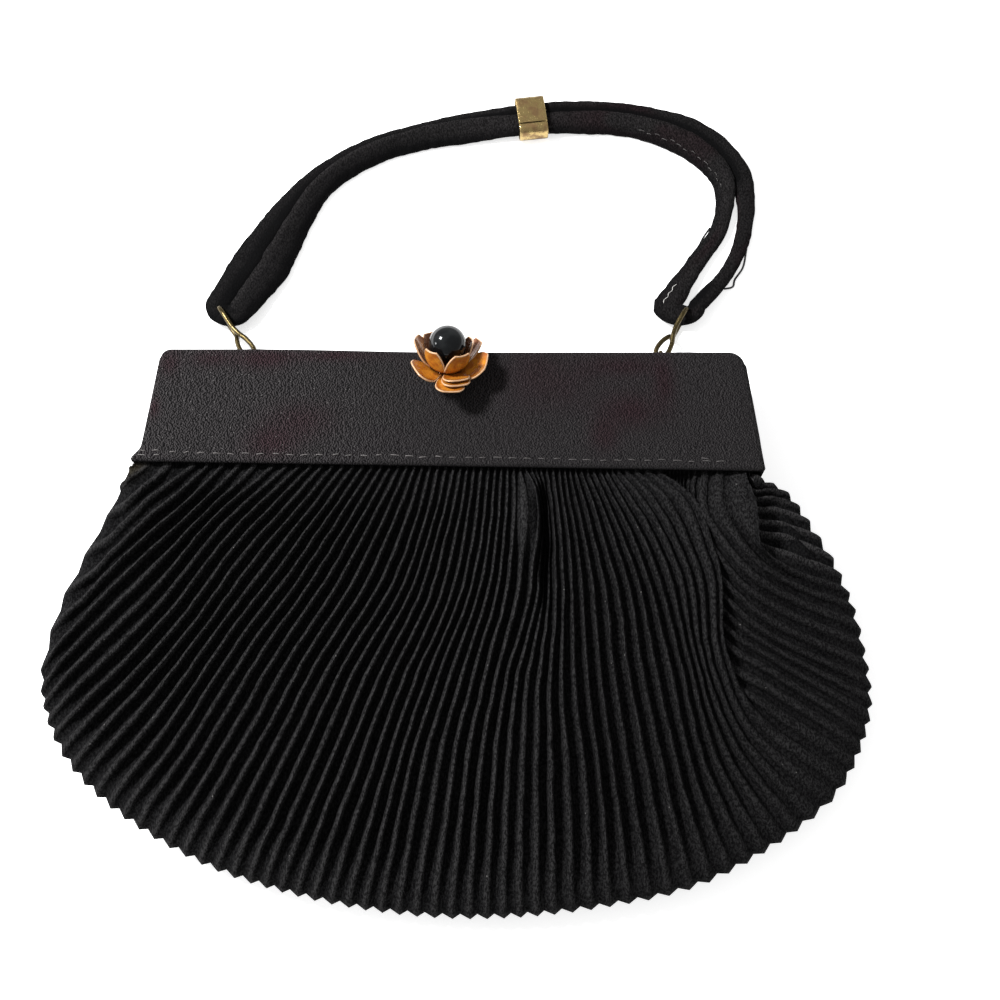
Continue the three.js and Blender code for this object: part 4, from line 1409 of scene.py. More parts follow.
# Guide pleats from the left end: how far round the hem each ends, where it leaves the frame and how far it
# leads to the right there, where it lies a quarter, a half and three quarters of the way down, its ridge's
# share of the pitch, how deep the hem is notched beside it, and how deep it is folded.
GUIDES = Table("pleat run mouth lead near_x near_y mid_x mid_y far_x far_y ridge notch relief", [
    (0, 0, -93.4, 0, -93.8, -8.4, -94.0, -8.6, -94.2, -8.7, 0.5, 0.1, 0.0),
    (1, 5.8, -89.0, 0, -91.8, -10.6, -94.0, -12.3, -96.2, -13.6, 0.48, 0.1, 0.3),
    (2, 14.6, -82.8, 0, -87.3, -13.2, -91.7, -17.4, -96.2, -20.6, 0.46, 0.6, 0.9),
    (3, 27.6, -75.5, 0, -84.0, -16.7, -91.2, -23.5, -98.6, -29.9, 0.45, 0.8, 1),
    (4, 40.1, -71.5, 0, -80.9, -20.4, -90.9, -29.6, -101.0, -38.6, 0.44, 0.8, 1),
    (5, 51.6, -67.2, 0, -78.4, -23.4, -90.7, -35.0, -103.0, -46.3, 0.43, 1.0, 1),
    (6, 63.1, -62.5, 0, -75.9, -25.9, -89.9, -40.3, -104.2, -54.2, 0.48, 1.0, 1),
    (7, 69.2, -57.8, 0, -72.7, -27.0, -86.5, -43.5, -101.8, -58.0, 0.48, 1.0, 1),
    (8, 73.6, -52.6, 0, -69.3, -27.5, -82.8, -46.1, -98.9, -61.6, 0.48, 1.3, 1),
    (10, 83.2, -45.0, 0, -62.2, -29.6, -76.2, -50.6, -92.7, -68.4, 0.48, 1.5, 1),
    (12, 93.9, -38.4, 0, -55.4, -32.0, -69.9, -54.4, -86.2, -74.2, 0.48, 1.6, 1),
    (15, 109.3, -29.3, 0, -45.2, -35.5, -60.9, -59.3, -76.0, -82.0, 0.48, 1.6, 1),
    (18, 124.5, -21.0, 0, -35.3, -37.9, -50.8, -63.7, -65.5, -88.2, 0.48, 1.5, 1),
    (21, 139.6, -13.6, 0, -25.2, -40.4, -40.1, -67.5, -54.0, -93.3, 0.48, 1.5, 1),
    (24, 154.1, -6.8, 0, -15.0, -41.8, -29.6, -69.6, -42.0, -96.6, 0.48, 1.4, 1),
    (27, 167.5, 0.1, 0, -7.0, -42.8, -19.7, -71.9, -30.3, -99.7, 0.48, 1.4, 1),
    (30, 181.6, 6.1, 0, 1.2, -43.5, -10.2, -73.5, -18.8, -102.2, 0.48, 1.4, 1),
    (32.4, 192.6, 11.2, 0, 7.1, -43.6, -2.8, -73.2, -10.1, -101.4, 0.48, 1.4, 1),
    (35.3, 206.3, 16.4, 0, 14.3, -44.2, 6.2, -74.0, 1.5, -102.4, 0.48, 1.4, 1),
    (36.7, 213, 19.0, 1, 18.2, -44.2, 10.8, -74.0, 6.8, -102.7, 0.48, 1.4, 1),
    (37.7, 217.6, 20.8, 17, 21.6, -43.9, 14.0, -74.0, 10.8, -102.7, 0.48, 1.4, 1),
    (39.2, 224.4, 23.1, 12, 24.7, -43.9, 18.7, -74.0, 16.7, -102.7, 0.48, 1.4, 0.8),
    (40.7, 231.1, 25.1, 9, 26.6, -43.6, 23.5, -74.0, 22.6, -102.4, 0.48, 1.4, 0.8),
    (41.9, 236.6, 27.1, 4, 28.9, -43.3, 27.3, -73.7, 27.1, -102.2, 0.48, 1.4, 1),
    (44, 247, 30.9, 0, 33.6, -43.0, 34.4, -72.9, 36.3, -101.1, 0.42, 1.4, 1),
    (46.5, 260, 34.7, 0, 40.3, -41.8, 42.9, -70.7, 46.3, -98.2, 0.39, 1.4, 1),
    (49.2, 275.3, 39.3, 0, 48.5, -40.4, 53.0, -69.0, 58.4, -96.1, 0.42, 1.4, 0.95),
    (51.7, 289.9, 44.0, 0, 55.3, -38.0, 61.6, -65.7, 67.3, -92.1, 0.48, 1.4, 0.85),
    (54, 302.7, 48.0, 6, 62.1, -36.6, 66.9, -64.0, 74.2, -89.1, 0.58, 1.4, 0.7),
    (55.9, 313.6, 53.0, 14, 67.7, -36.6, 70.8, -64.0, 79.2, -86.7, 0.64, 1.4, 0.6),
    (57.5, 324.6, 58.5, 24, 72.8, -36.9, 74.4, -63.2, 83.5, -84.0, 0.66, 1.4, 0.5),
    (58.2, 328.6, 61.1, 22, 74.4, -35.9, 75.7, -62.9, 85.3, -82.0, 0.66, 1.4, 0.5),
    (58.9, 332.4, 61.7, 0, 67.2, -41.1, 71.7, -66.8, 87.1, -79.5, 0.66, 1.4, 0.7),
    (61.5, 344.8, 64.6, 0, 67.4, -38.4, 73.8, -56.8, 91.7, -68.8, 0.64, 1.3, 0.75),
    (64.3, 358.5, 67.5, 0, 67.6, -33.1, 77.2, -48.2, 93.5, -59.7, 0.64, 1.3, 0.8),
    (66.5, 370.2, 71.0, 0, 70.4, -24.6, 81.3, -42.4, 96.4, -50.8, 0.62, 1.3, 0.75),
    (67.9, 378.6, 76.2, 0, 75.8, -25.1, 85.1, -38.2, 97.4, -44.7, 0.62, 1.4, 0.7),
    (68.8, 383.2, 80.6, 0, 80.8, -23.2, 87.0, -35.3, 97.7, -41.1, 0.62, 1.4, 0.7),
    (69.3, 386.1, 84.6, 0, 85.8, -21.8, 87.6, -33.6, 97.9, -38.8, 0.6, 1.5, 0.6),
    (69.7, 388.4, 81.4, 0, 83.6, -21.0, 86.5, -32.1, 98.2, -36.8, 0.58, 1.5, 0.7),
    (70.9, 394.6, 82.0, 0, 83.6, -19.2, 86.8, -28.2, 97.0, -29.6, 0.45, 1.5, 1),
    (72.4, 404.6, 82.8, 0, 83.8, -16.8, 87.1, -22.9, 95.2, -23.6, 0.42, 1.6, 1),
    (73.5, 410.6, 83.6, 0, 84.2, -15.1, 87.5, -19.1, 93.6, -18.8, 0.42, 1.6, 1),
    (74.7, 416.6, 84.6, 0, 85.4, -14.2, 88.0, -16.3, 92.4, -15.4, 0.42, 1.5, 1),
    (75.8, 422.1, 85.8, 0, 86.8, -13.0, 88.8, -14.0, 91.4, -13.2, 0.45, 1.0, 1),
    (77, 427.6, 86.8, 0, 88.0, -11.2, 89.0, -11.4, 89.7, -11.6, 0.6, 0.4, 0.7),
])

# How far the folds lean: below 0 their left flank is the broader, above 0 their right one.
LEANS = Table("pleat lean", [
    (0, -0.35), (40, -0.35), (50, 0), (57, 0), (60, 0.5), (67.8, 0.5), (70, 0), (77, 0),
])

# Layers on the right: how far pleats lie under the front at the mouth and at the same three places, where
# the cloth is folded under the middle panel's edge and again near the corner.
LAYERS = Table("pleat mouth near mid far", [
    (0, 0, 0, 0, 0),
    (56.6, 0, 0, 0, 0),
    (57.5, 0, 0.4, 0.4, 0.2),
    (58.2, -0.8, -1.0, -1.0, -0.2),
    (58.9, -2.5, -4.4, -3.6, -0.2),
    (61.5, -3.0, -4.4, -3.0, 0),
    (64.3, -3.0, -4.4, -1.6, 0),
    (66.5, -0.8, -1.6, -0.8, 0),
    (67.9, 0, -0.2, 0, 0),
    (68.8, 0, 0, 0, 0),
    (69.3, 0.2, 0.4, 0.3, 0),
    (69.7, -3.0, -3.2, -2.4, -0.6),
    (70.9, -3.0, -2.6, -2.0, -0.4),
    (72.4, -2.8, -2.4, -1.7, -0.2),
    (73.5, -2.4, -2.2, -1.3, 0),
    (74.7, -2.0, -1.8, -0.8, 0),
    (77, 0, 0, 0, 0),
])

TUCK = Tuck(((26.0, -10.0), (26.6, -31.0), (25.4, -62.0)), 5.4, 1.0, 1.7)
EASED = (
    Eased((20.6, -23.0), (3.2, 12.0), 0.85, 1.2),
    Eased((79.0, -19.5), (6.0, 9.0), 0.75, 0.6),
)

# How the ridges wander sideways: seed, distance, and turns to a pleat and down the pouch.
WANDERS = ((4, 0.5, 0.25, 6.0), (5, 0.2, 0.9, 30.0))


@dataclass
class PleatedPouch:
    """The pleated cloth pouch, hollow and open inside the frame."""

    finishes: Finishes
    covered: CoveredFrame
    pleats: int = 77
    mouth_gap: float = 0.3
    tuck_in: float = 5.0
    rim_half: float = 88.5
    front_mouth_z: float = 20.8
    back_mouth_z: float = 2.7
    back_settle: float = 0.16
    corner_z: float = 12.0
    hem_z: float = 7.5
    corner_run: float = 45.0
    rise: float = 4.2
    rise_end: float = 0.8
    front_fall: float = 3.2
    front_round: float = 2.2
    back_round: float = 6.0
    neck_depth: float = 1.5
    neck_end: float = 0.2
    free_from: float = 0.05
    pleat_depth: float = 3.2
    back_depth: float = 1.8
    ridge_drop: float = 0.86
    depth_per_pitch: float = 0.95
    pitch_window: int = 11
    uneven: float = 0.16
    uneven_turns: float = 3.0
    notched_from: float = 0.84
    pointed_from: float = 0.86
    wander_margin: float = 0.1
    wall: float = 1.0
    rows: tuple[int, int] = (72, 18)
    front_crowding: float = 0.45
    back_crowding: float = 0.6
    lining_rows: tuple[int, int] = (24, 12)
    lining_columns: int = 60
    lining_margin: float = 2.0
    lining_fold: float = 0.8
    tuck_room: int = 6
    layer_room: int = 4
    room_step: int = 2
    crisp: float = 80.0
    least_fold: float = 0.25
    # Sunk depths over which the fold mark turns fully dark: painted shadow under the edges of the layered
    # panels.
    dark_sink: Span = (-2.2, -3.8)
    thinnest: float = 0.4
    thin_pleats: Span = (9.0, 5.0)
    thin_shares: Span = (0.7, 0.85)
    plainest: float = 0.5
    plain_from: Span = (38.0, 46.0)
    plain_to: Span = (70.0, 68.8)
    plain_eased: float = 0.5
    # Painted light on the ridges of the right panel and, much more, of the right corner that lies in the
    # frame's shadow.
    panel_painted_light: float = 0.05
    panel_from: Span = (58.9, 60.0)
    corner_painted_light: float = 0.7
    corner_from: Span = (69.6, 70.6)
    brownest: float = 0.75
    brown_pleats: Span = (1.3, 0.3)
    brown_shares: Span = (1.0, 0.5)
    flat: Span = (0.4, 0.245)
    turns: Array = field(default_factory=lambda: np.radians([0, 30, 55, 75, 90]))

    def columns(self) -> tuple[Array, Array, Array]:
        """Places across the pleats, closer together where the cloth turns.

        Returns:
            Pleat coordinates, the round profile's depth and the pointed profile's depth there.
        """
        pleat, rounded, pointed = [], [], []
        for k in range(self.pleats):
            ridge = GUIDES.read("ridge", k + 0.5) / 2
            lean = LEANS.read("lean", k + 0.5)
            before = ridge * (1 + lean) * np.sin(self.turns)
            after = (ridge * (1 - lean) * np.sin(self.turns))[:0:-1]
            sunk = self.ridge_drop * (1 - np.cos(self.turns))
            valley = 0.5 + ridge * lean
            pleat += [k + before, [k + valley], k + 1 - after]
            rounded += [sunk, [1.0], sunk[:0:-1]]
            pointed += [before / valley, [1.0], after / (1 - valley)]
        pleat.append([self.pleats])
        rounded.append([0.0])
        pointed.append([0.0])
        return np.concatenate(pleat), np.concatenate(rounded), np.concatenate(pointed)

    def ends(self, pleat: Array) -> tuple[Array, Array]:
        """Where pleats leave the frame and where they end at the hem.

        Args:
            pleat: Pleat coordinates.

        Returns:
            Mouth points and hem points, seen from the front.
        """
        mouth_x = GUIDES.read("mouth", pleat)
        mouth = np.stack([mouth_x, self.covered.lower_edge(mouth_x) - self.mouth_gap], axis=1)
        run = GUIDES.read("run", pleat) / GUIDES.columns["run"][-1]
        return mouth, HEM.by_length(np.clip(run, 0, 1))

    def plan(self, pleat: Array, shares: Array) -> Array:
        """Lie of the front's pleats, seen from the front.

        Args:
            pleat: Pleat coordinates.
            shares: Shares of the way from the mouth to the hem.

        Returns:
            Points by share and pleat: along the frame, down the pouch, and how far over the plain front.
        """
        mouth, hem = self.ends(pleat)
        knots = [np.c_[mouth, LAYERS.read("mouth", pleat)]]
        for at in ("near", "mid", "far"):
            along, down = GUIDES.read(f"{at}_x", pleat), GUIDES.read(f"{at}_y", pleat)
            knots.append(np.stack([along, down, LAYERS.read(at, pleat)], axis=1))
        knots = np.stack([*knots, np.c_[hem, np.zeros(len(pleat))]])
        spans = len(knots) - 1
        slope = np.empty_like(knots)
        slope[1:-1] = (knots[2:] - knots[:-2]) / 2
        slope[0] = 1.5 * (knots[1] - knots[0]) - slope[1] / 2
        slope[-1] = 1.5 * (knots[-1] - knots[-2]) - slope[-2] / 2
        slope[0, :, 0] += GUIDES.read("lead", pleat)
        i = np.minimum((shares * spans).astype(int), spans - 1)
        t = (shares * spans - i)[:, None, None]
        curve = (1 + 2 * t) * (1 - t) ** 2 * knots[i] + t * t * (3 - 2 * t) * knots[i + 1]
        return curve + t * (1 - t) * ((1 - t) * slope[i] - t * slope[i + 1])

    def front(self, pleat: Array, shares: Array, plain: bool) -> Array:
        """Ridge surface of the front.

        Args:
            pleat: Pleat coordinates.
            shares: Shares of the way from the mouth to the hem.
            plain: Whether to leave out the lie of the pleats and the folds.

        Returns:
            Points by share and pleat.
        """
        mouth, hem = self.ends(pleat)
        share = shares[:, None]
        clear, low = self.hem_height(pleat)
        swell = np.sin(np.pi * np.minimum(1, share / self.rise_end)) * clear
        top = self.front_mouth_z + self.rise * swell
        fall = (1 - share**self.front_fall) ** (1 / self.front_round)
        z = low + (top - low) * fall
        if plain:
            return np.concatenate([mix(mouth, hem, shares[:, None, None]), z[..., None]], axis=2)
        lie = self.plan(pleat, shares)
        x, y = lie[..., 0], lie[..., 1]
        bulge = sum(oval.lift * oval.nearness(x, y) for oval in EASED)
        lift = (TUCK.height(x, y) + bulge) * smooth(share, 0, self.free_from)
        return np.stack([x, y, z + (lie[..., 2] + lift) * fall], axis=2)

    def hem_height(self, pleat: Array) -> tuple[Array, Array]:
        """Height of the hem, which stands up at the mouth's corners.

        Args:
            pleat: Pleat coordinates.

        Returns:
            How clear of the corners pleats are, from 0 to 1, and their hem's height.
        """
        run = GUIDES.read("run", pleat)
        clear = smooth(np.minimum(run, GUIDES.columns["run"][-1] - run), 0, self.corner_run)
        return clear, mix(self.corner_z, self.hem_z, clear)

    def back(self, pleat: Array, shares: Array) -> Array:
        """Ridge surface of the back, which lies flat.

        Args:
            pleat: Pleat coordinates.
            shares: Shares of the way from the mouth to the hem.

        Returns:
            Points by share and pleat.
        """
        mouth, hem = self.ends(pleat)
        share = shares[:, None]
        _, low = self.hem_height(pleat)
        lifted = low * (1 - (1 - share**self.back_round) ** (1 / self.back_round))
        settle = self.back_mouth_z * (1 - smooth(share, 0, self.back_settle))
        z = np.maximum(lifted, settle)
        return np.concatenate([mix(mouth, hem, shares[:, None, None]), z[..., None]], axis=2)

    def shares(self, front_rows: int, back_rows: int) -> tuple[Array, Array]:
        """Stations down the front and back up the back, closer together near the hem.

        Args:
            front_rows: Number of stations on the front.
            back_rows: Number of stations on the back.

        Returns:
            The two runs of shares.
        """
        front = np.linspace(0, 1, front_rows)
        front = mix(front, 1 - (1 - front) ** 2, self.front_crowding)
        back = np.linspace(1, 0, back_rows + 1)[1:]
        return front, mix(back, 1 - (1 - back) ** 2, self.back_crowding)

    def inward(self, pleat: Array, front: Array, back: Array) -> Array:
        """Directions into the bag, square to its plain form.

        Args:
            pleat: Pleat coordinates.
            front: Stations of the front.
            back: Stations of the back.

        Returns:
            Unit directions by station and pleat.
        """
        form = np.concatenate([self.front(pleat, front, True), self.back(pleat, back)])
        across = np.gradient(form, axis=1)
        down = np.gradient(form, axis=0)
        inside = unit(np.cross(across, down))
        inside[len(front):, :, 2] = np.abs(inside[len(front):, :, 2])
        return inside

    def skin(self, parts: MeshParts) -> Array:
        """Outer skin with its pleats.

        Args:
            parts: Mesh that takes the skin.

        Returns:
            Numbers of its points by row and column.
        """
        pleat, rounded, pointed = self.columns()
        front, back = self.shares(*self.rows)
        ridge = np.concatenate([self.front(pleat, front, False), self.back(pleat, back)])
        share = np.concatenate([front, back])[:, None]
        on_front = (np.arange(len(share)) < len(front))[:, None]
        eased = sum(oval.smoothed * oval.nearness(ridge[..., 0], ridge[..., 1]) for oval in EASED)
        depth = self.pleat_depths(ridge, pleat, share, on_front, eased)
        profile = mix(rounded, pointed, smooth(share, self.pointed_from, 1))
        wander = 0.0
        for seed, far, across, down in WANDERS:
            wander = wander + far * Wobble(seed).at(pleat * across, share * down)
        clear = smooth(share, 0, self.wander_margin) * smooth(share, 1, 1 - self.wander_margin)
        ridge[..., 0] += wander * clear * on_front
        points = ridge + self.inward(pleat, front, back) * (depth * profile)[..., None]
        under = np.concatenate([self.plan(pleat, front)[..., 2], np.zeros((len(back), len(pleat)))])
        sunk = under + TUCK.height(ridge[..., 0], ridge[..., 1]) * on_front
        thin = smooth(share, *self.thin_shares) * smooth(pleat, *self.thin_pleats) * on_front
        # The fold mark darkens valleys, partly for real wear and partly as painted shade, and turns black
        # where pleats lie sunk under a panel's edge, as painted shadow.
        relief = mix(self.least_fold, 1, GUIDES.read("relief", pleat))
        fold = rounded ** mix(1, self.thinnest, thin) * relief
        plain = self.plainest * smooth(pleat, *self.plain_from) * smooth(pleat, *self.plain_to)
        # Painted light: the right panel's and the corner's ridges are marked to be brightened.
        painted_light = self.panel_painted_light * smooth(pleat, *self.panel_from)
        painted_light = painted_light + self.corner_painted_light * smooth(pleat, *self.corner_from)
        brown = self.brownest * smooth(pleat, *self.brown_pleats) * smooth(share, *self.brown_shares)
        marks = {
            "fold": np.maximum(fold * (1 - eased), smooth(sunk, *self.dark_sink)),
            "plain": plain * (1 + self.plain_eased * eased),
            "painted_light": painted_light * (1 - rounded) * on_front,
            "browned": brown * on_front,
        }
        rimmed = {name: np.concatenate([rows[:1], rows, rows[-1:]]) for name, rows in marks.items()}
        rimmed["fold"][[0, -1]] = rounded
        rimmed["painted_light"][[0, -1]] = 0
        grid = self.with_rims(points, pleat, self.neck_depth * rounded)
        return parts.add_grid(grid, flip=True, **rimmed)

    def pleat_depths(
        self, ridge: Array, pleat: Array, share: Array, on_front: Array, eased: Array
    ) -> Array:
        """Depth of the valleys below the ridges.

        Args:
            ridge: Ridge surface by station and pleat.
            pleat: Pleat coordinates.
            share: Shares of the way from the mouth to the hem, one to a row.
            on_front: Whether a row is on the front.
            eased: How far the cloth is pulled smooth.

        Returns:
            Depths by station and pleat.
        """
        speed = np.linalg.norm(np.gradient(ridge, pleat, axis=1), axis=2)
        beside = self.pitch_window // 2
        window = np.ones(self.pitch_window) / self.pitch_window
        padded = np.pad(speed, ((0, 0), (beside, beside)), mode="edge")
        pitch = np.stack([np.convolve(row, window, "valid") for row in padded])
        neck = smooth(share, 0, self.neck_end)
        uneven = 1 + self.uneven * Wobble(3).at(pleat, share * self.uneven_turns)
        full = mix(self.neck_depth, self.pleat_depth, neck) * uneven
        full = full * GUIDES.read("relief", pleat) * (1 - eased)
        full = np.where(on_front, full, mix(self.neck_depth, self.back_depth, neck))
        depth = mix(full, GUIDES.read("notch", pleat), smooth(share, self.notched_from, 1))
        return np.minimum(depth, self.depth_per_pitch * pitch)

    def with_rims(self, points: Array, pleat: Array, depth: Array | float) -> Array:
        """Cloth with its front and back rims inside the frame added.

        Args:
            points: Points of the cloth by station and pleat.
            pleat: Pleat coordinates.
            depth: How far the rims are sunk in.

        Returns:
            The points with one row more at either end.
        """
        x = np.clip(GUIDES.read("mouth", pleat), -self.rim_half, self.rim_half)
        y = self.covered.lower_edge(x) + self.tuck_in
        heights = (self.front_mouth_z - depth, self.back_mouth_z + depth)
        front, back = (np.stack([x, y, np.broadcast_to(z, x.shape)], axis=1)[None] for z in heights)
        return np.concatenate([front, points, back])

    def lining(self, parts: MeshParts) -> Array:
        """Smooth inside of the cloth.

        Args:
            parts: Mesh that takes the skin.

        Returns:
            Numbers of its points by row and column.
        """
        pleat = np.linspace(self.lining_margin, self.pleats - self.lining_margin, self.lining_columns)
        front, back = self.shares(*self.lining_rows)
        form = np.concatenate([self.front(pleat, front, True), self.back(pleat, back)])
        share = np.concatenate([front, back])[:, None]
        on_front = (np.arange(len(share)) < len(front))[:, None]
        sunk = mix(self.neck_depth, self.pleat_depth + self.wall, smooth(share, 0, self.neck_end))
        sunk = np.where(on_front, sunk, self.back_depth + self.wall)[..., None]
        form = form + self.inward(pleat, front, back) * sunk
        beside = range(-self.tuck_room, self.tuck_room + 1, self.room_step)
        tucked = [TUCK.height(form[..., 0] + k, form[..., 1]) for k in beside]
        lowest = np.minimum(0, np.min(tucked, axis=0))
        beside = range(-self.layer_room, self.layer_room + 1, self.room_step)
        layers = [self.plan(np.clip(pleat + k, 0, self.pleats), front)[..., 2] for k in beside]
        lowest[: len(front)] += np.minimum(0, np.min(layers, axis=0))
        form[..., 2] += lowest * (1 - share**self.front_fall) * on_front
        grid = self.with_rims(form, pleat, self.neck_depth + self.wall)
        return parts.add_grid(grid, fold=self.lining_fold)

    def build(self) -> None:
        parts = MeshParts("fold", "plain", "painted_light", "browned")
        outer = self.skin(parts)
        inner = self.lining(parts)
        for numbers, rows, flip in ((outer, self.rows[0], False), (inner, self.lining_rows[0], True)):
            parts.add_strip(numbers[: rows + 1, 0], numbers[rows:, 0][::-1], flip=flip)
            parts.add_strip(numbers[: rows + 1, -1], numbers[rows:, -1][::-1], flip=not flip)
        parts.add_strip(outer[0], inner[0])
        parts.add_strip(outer[-1], inner[-1], flip=True)
        for column, flip in ((0, False), (-1, True)):
            quad = [outer[0, column], inner[0, column], inner[-1, column], outer[-1, column]]
            parts.add_faces(np.array([quad[::-1] if flip else quad]))
        pouch = parts.piece("pouch_cloth", [self.finishes.pleated_cloth], self.crisp)
        place(pouch, "pleated_cloth", "pouch")


# Petals: heading round the axis (0 right, -90 towards the hem), radius and height of the tip, height at
# the foot, how far the sheet bellies below its straight line, half width, roll about its length in degrees,
# and how coppery it is; on the petals towards the back this copper partly stands for painted shade.
PETALS = (
    (-128, 7.6, 8.4, 1.0, 2.4, 3.2, 0, 0.0),
    (-54, 7.8, 8.0, 1.0, 2.4, 3.7, 0, 0.0),
    (22, 7.6, 9.2, 1.2, 2.4, 3.0, 0, 0.9),
    (90, 7.6, 9.4, 1.2, 2.4, 3.0, 0, 0.9),
    (168, 9.8, 8.6, 1.0, 2.2, 4.0, 0, 0.4),
    (-148, 10.4, 2.4, -0.2, 0.6, 4.0, -20, 0.0),
    (-80, 11.6, -1.0, -0.5, 0.3, 4.0, 0, 0.0),
    (-66, 10.4, 0.2, -0.2, 0.2, 4.0, 0, 0.2),
    (-63, 9.6, 1.4, 0.2, 0.3, 3.8, 0, 0.1),
    (-10, 11.8, 4.4, -0.2, 0.7, 4.0, 32, 0.0),
    (32, 11.0, 7.6, 0.6, 1.8, 2.6, 0, 1.0),
    (128, 9.6, 8.0, 0.6, 1.8, 3.0, 0, 1.0),
)

# Cup of the flower: radius and height from the bottom up.
CUP = (
    (0.02, -0.9), (1.7, -0.9), (2.4, -0.5), (2.7, 0.0), (2.7, 2.4), (2.4, 2.9), (1.7, 3.1), (0.02, 3.1),
)


@dataclass
class FlowerKnob:
    """The flower knob with its bead, leaning back over the frame's top edge."""

    finishes: Finishes
    base: Point = (-2.4, 19.4, 26.4)
    axis: Point = (0.08, 0.62, 0.79)
    cup_radius: float = 2.7
    sheet: float = 0.7
    rim: float = 0.27
    foot_radius: float = 3.6
    foot_thick: float = 0.9
    foot_round: float = 0.4
    collar_radius: float = 2.2
    collar_height: float = 0.25
    stem_radius: float = 1.7
    stem_from: float = 0.7
    stem_into: float = 0.4
    pole: float = 0.02
    seat: float = 23.8
    bead_radius: float = 5.5
    bead_height: float = 8.6
    bead_steps: int = 41
    round_steps: int = 6
    turned_sides: int = 32
    crisp: float = 40.0
    bead_crisp: float = 80.0
    petal_foot: float = 0.27
    petal_widest: float = 0.72
    petal_tip: float = 1.07
    petal_curl: float = 0.2
    curl_least: float = 0.3
    curl_rises: Span = (2.0, 7.0)
    roll_end: float = 0.5
    petal_rows: int = 15
    petal_columns: int = 13
    rim_points: int = 22
    rim_sides: int = 8
    rim_starts: Span = (0.02, 0.3)
    # Copper at the petal's foot, along its sides and under it: partly bare metal, partly painted shade in
    # crevices and underneath.
    foot_copper_and_shade: float = 0.95
    foot_copper_and_shade_span: Span = (0.52, 0.02)
    side_copper_and_shade: float = 0.4
    side_copper_and_shade_span: Span = (0.6, 0.95)
    under_copper_and_shade: float = 0.8
    under_copper_and_shade_span: Span = (0.45, 0.05)
    cup_copper: float = 0.7
    stem_copper: float = 0.6

    def basis(self) -> Array:
        """Directions of the leaning flower.

        Returns:
            Right, forward and axis, as columns.
        """
        axis = unit(np.array(self.axis))
        right = unit(np.array([1.0, 0, 0]) - axis * axis[0])
        return np.stack([right, np.cross(axis, right), axis], axis=1)

    def lean(self, points: Array) -> Array:
        """Points of the upright flower moved to its lean on the frame."""
        return points @ self.basis().T + np.array(self.base)

    def petal_sheet(self, row: Sequence[float], u: Array, v: Array, raise_by: float) -> Array:
        """Points of one cupped petal, upright.

        Args:
            row: The petal's row.
            u: Shares along it.
            v: Shares across it, from -1 to 1.
            raise_by: Distance from its middle surface.

        Returns:
            The points.
        """
        heading, reach, rise, foot, belly, half, roll, _ = row
        start = self.cup_radius - self.sheet
        widen = mix(self.petal_foot, 1, np.sin(np.pi / 2 * np.minimum(1, u / self.petal_widest)))
        past = np.maximum(0, u - self.petal_widest) / (self.petal_tip - self.petal_widest)
        width = half * widen * np.sqrt(1 - past**2)
        height = mix(foot, rise, u) - belly * np.sin(np.pi * u)
        climb = rise - foot - belly * np.pi * np.cos(np.pi * u)
        slope = np.arctan2(climb, reach - start)
        curl = self.petal_curl * mix(self.curl_least, 1, smooth(rise, *self.curl_rises))
        lift = curl * width * v * v + raise_by
        out = mix(start, reach, u) - lift * np.sin(slope)
        tip = width * v * math.sin(math.radians(roll)) * smooth(u, 0, self.roll_end)
        flat = np.stack([out, width * v, height + lift * np.cos(slope) + tip], axis=-1)
        cos, sin = math.cos(math.radians(heading)), math.sin(math.radians(heading))
        return flat @ np.array([[cos, sin, 0], [-sin, cos, 0], [0, 0, 1]])

    def add_petal(self, parts: MeshParts, row: Sequence[float]) -> None:
        """Add one petal with its raised rim.

        Args:
            parts: Mesh that takes it.
            row: The petal's row.
        """
        along, across = np.linspace(0, 1, self.petal_rows), np.linspace(-1, 1, self.petal_columns)
        u, v = np.meshgrid(along, across, indexing="ij")
        # The hollow mark: bare copper, and painted shade at the petal's foot, its sides and its underside.
        foot = self.foot_copper_and_shade * smooth(u, *self.foot_copper_and_shade_span)
        sides = self.side_copper_and_shade * smooth(np.abs(v), *self.side_copper_and_shade_span)
        under = self.under_copper_and_shade * smooth(u, *self.under_copper_and_shade_span)
        upper = self.lean(self.petal_sheet(row, u, v, self.sheet / 2))
        lower = self.lean(self.petal_sheet(row, u, v, -self.sheet / 2))
        parts.add_grid(upper, flip=True, hollow=np.maximum(np.maximum(foot, sides), row[-1]))
        parts.add_grid(lower, hollow=np.maximum(under, row[-1]))
        side, tip = np.linspace(0, 1, self.rim_points), across[1:-1]
        edge_u = np.concatenate([side, np.ones(len(tip)), side[::-1]])
        edge_v = np.concatenate([-np.ones(len(side)), tip, np.ones(len(side))])
        rim = self.lean(self.petal_sheet(row, edge_u, edge_v, 0.0))
        parts.add_tube(rim, self.rim, self.rim_sides, rim=smooth(edge_u, *self.rim_starts)[:, None])

    def lathe(self, parts: MeshParts, profile: Sequence[Span], lean: bool, **marks: float) -> None:
        """Add a turned part about the flower's axis or upright on the frame.

        Args:
            parts: Mesh that takes it.
            profile: Radius and height, from the bottom up.
            lean: Whether it leans with the flower.
            marks: Marks of its points.
        """
        angle = np.linspace(0, 2 * np.pi, self.turned_sides, endpoint=False)
        radius, height = np.array(profile, float).T[..., None]
        level = np.repeat(height, len(angle), axis=1)
        grid = np.stack([radius * np.cos(angle), radius * np.sin(angle), level], axis=-1)
        grid = self.lean(grid) if lean else grid + np.array([self.base[0], self.base[1], 0])
        parts.add_grid(grid, ring=True, **marks)

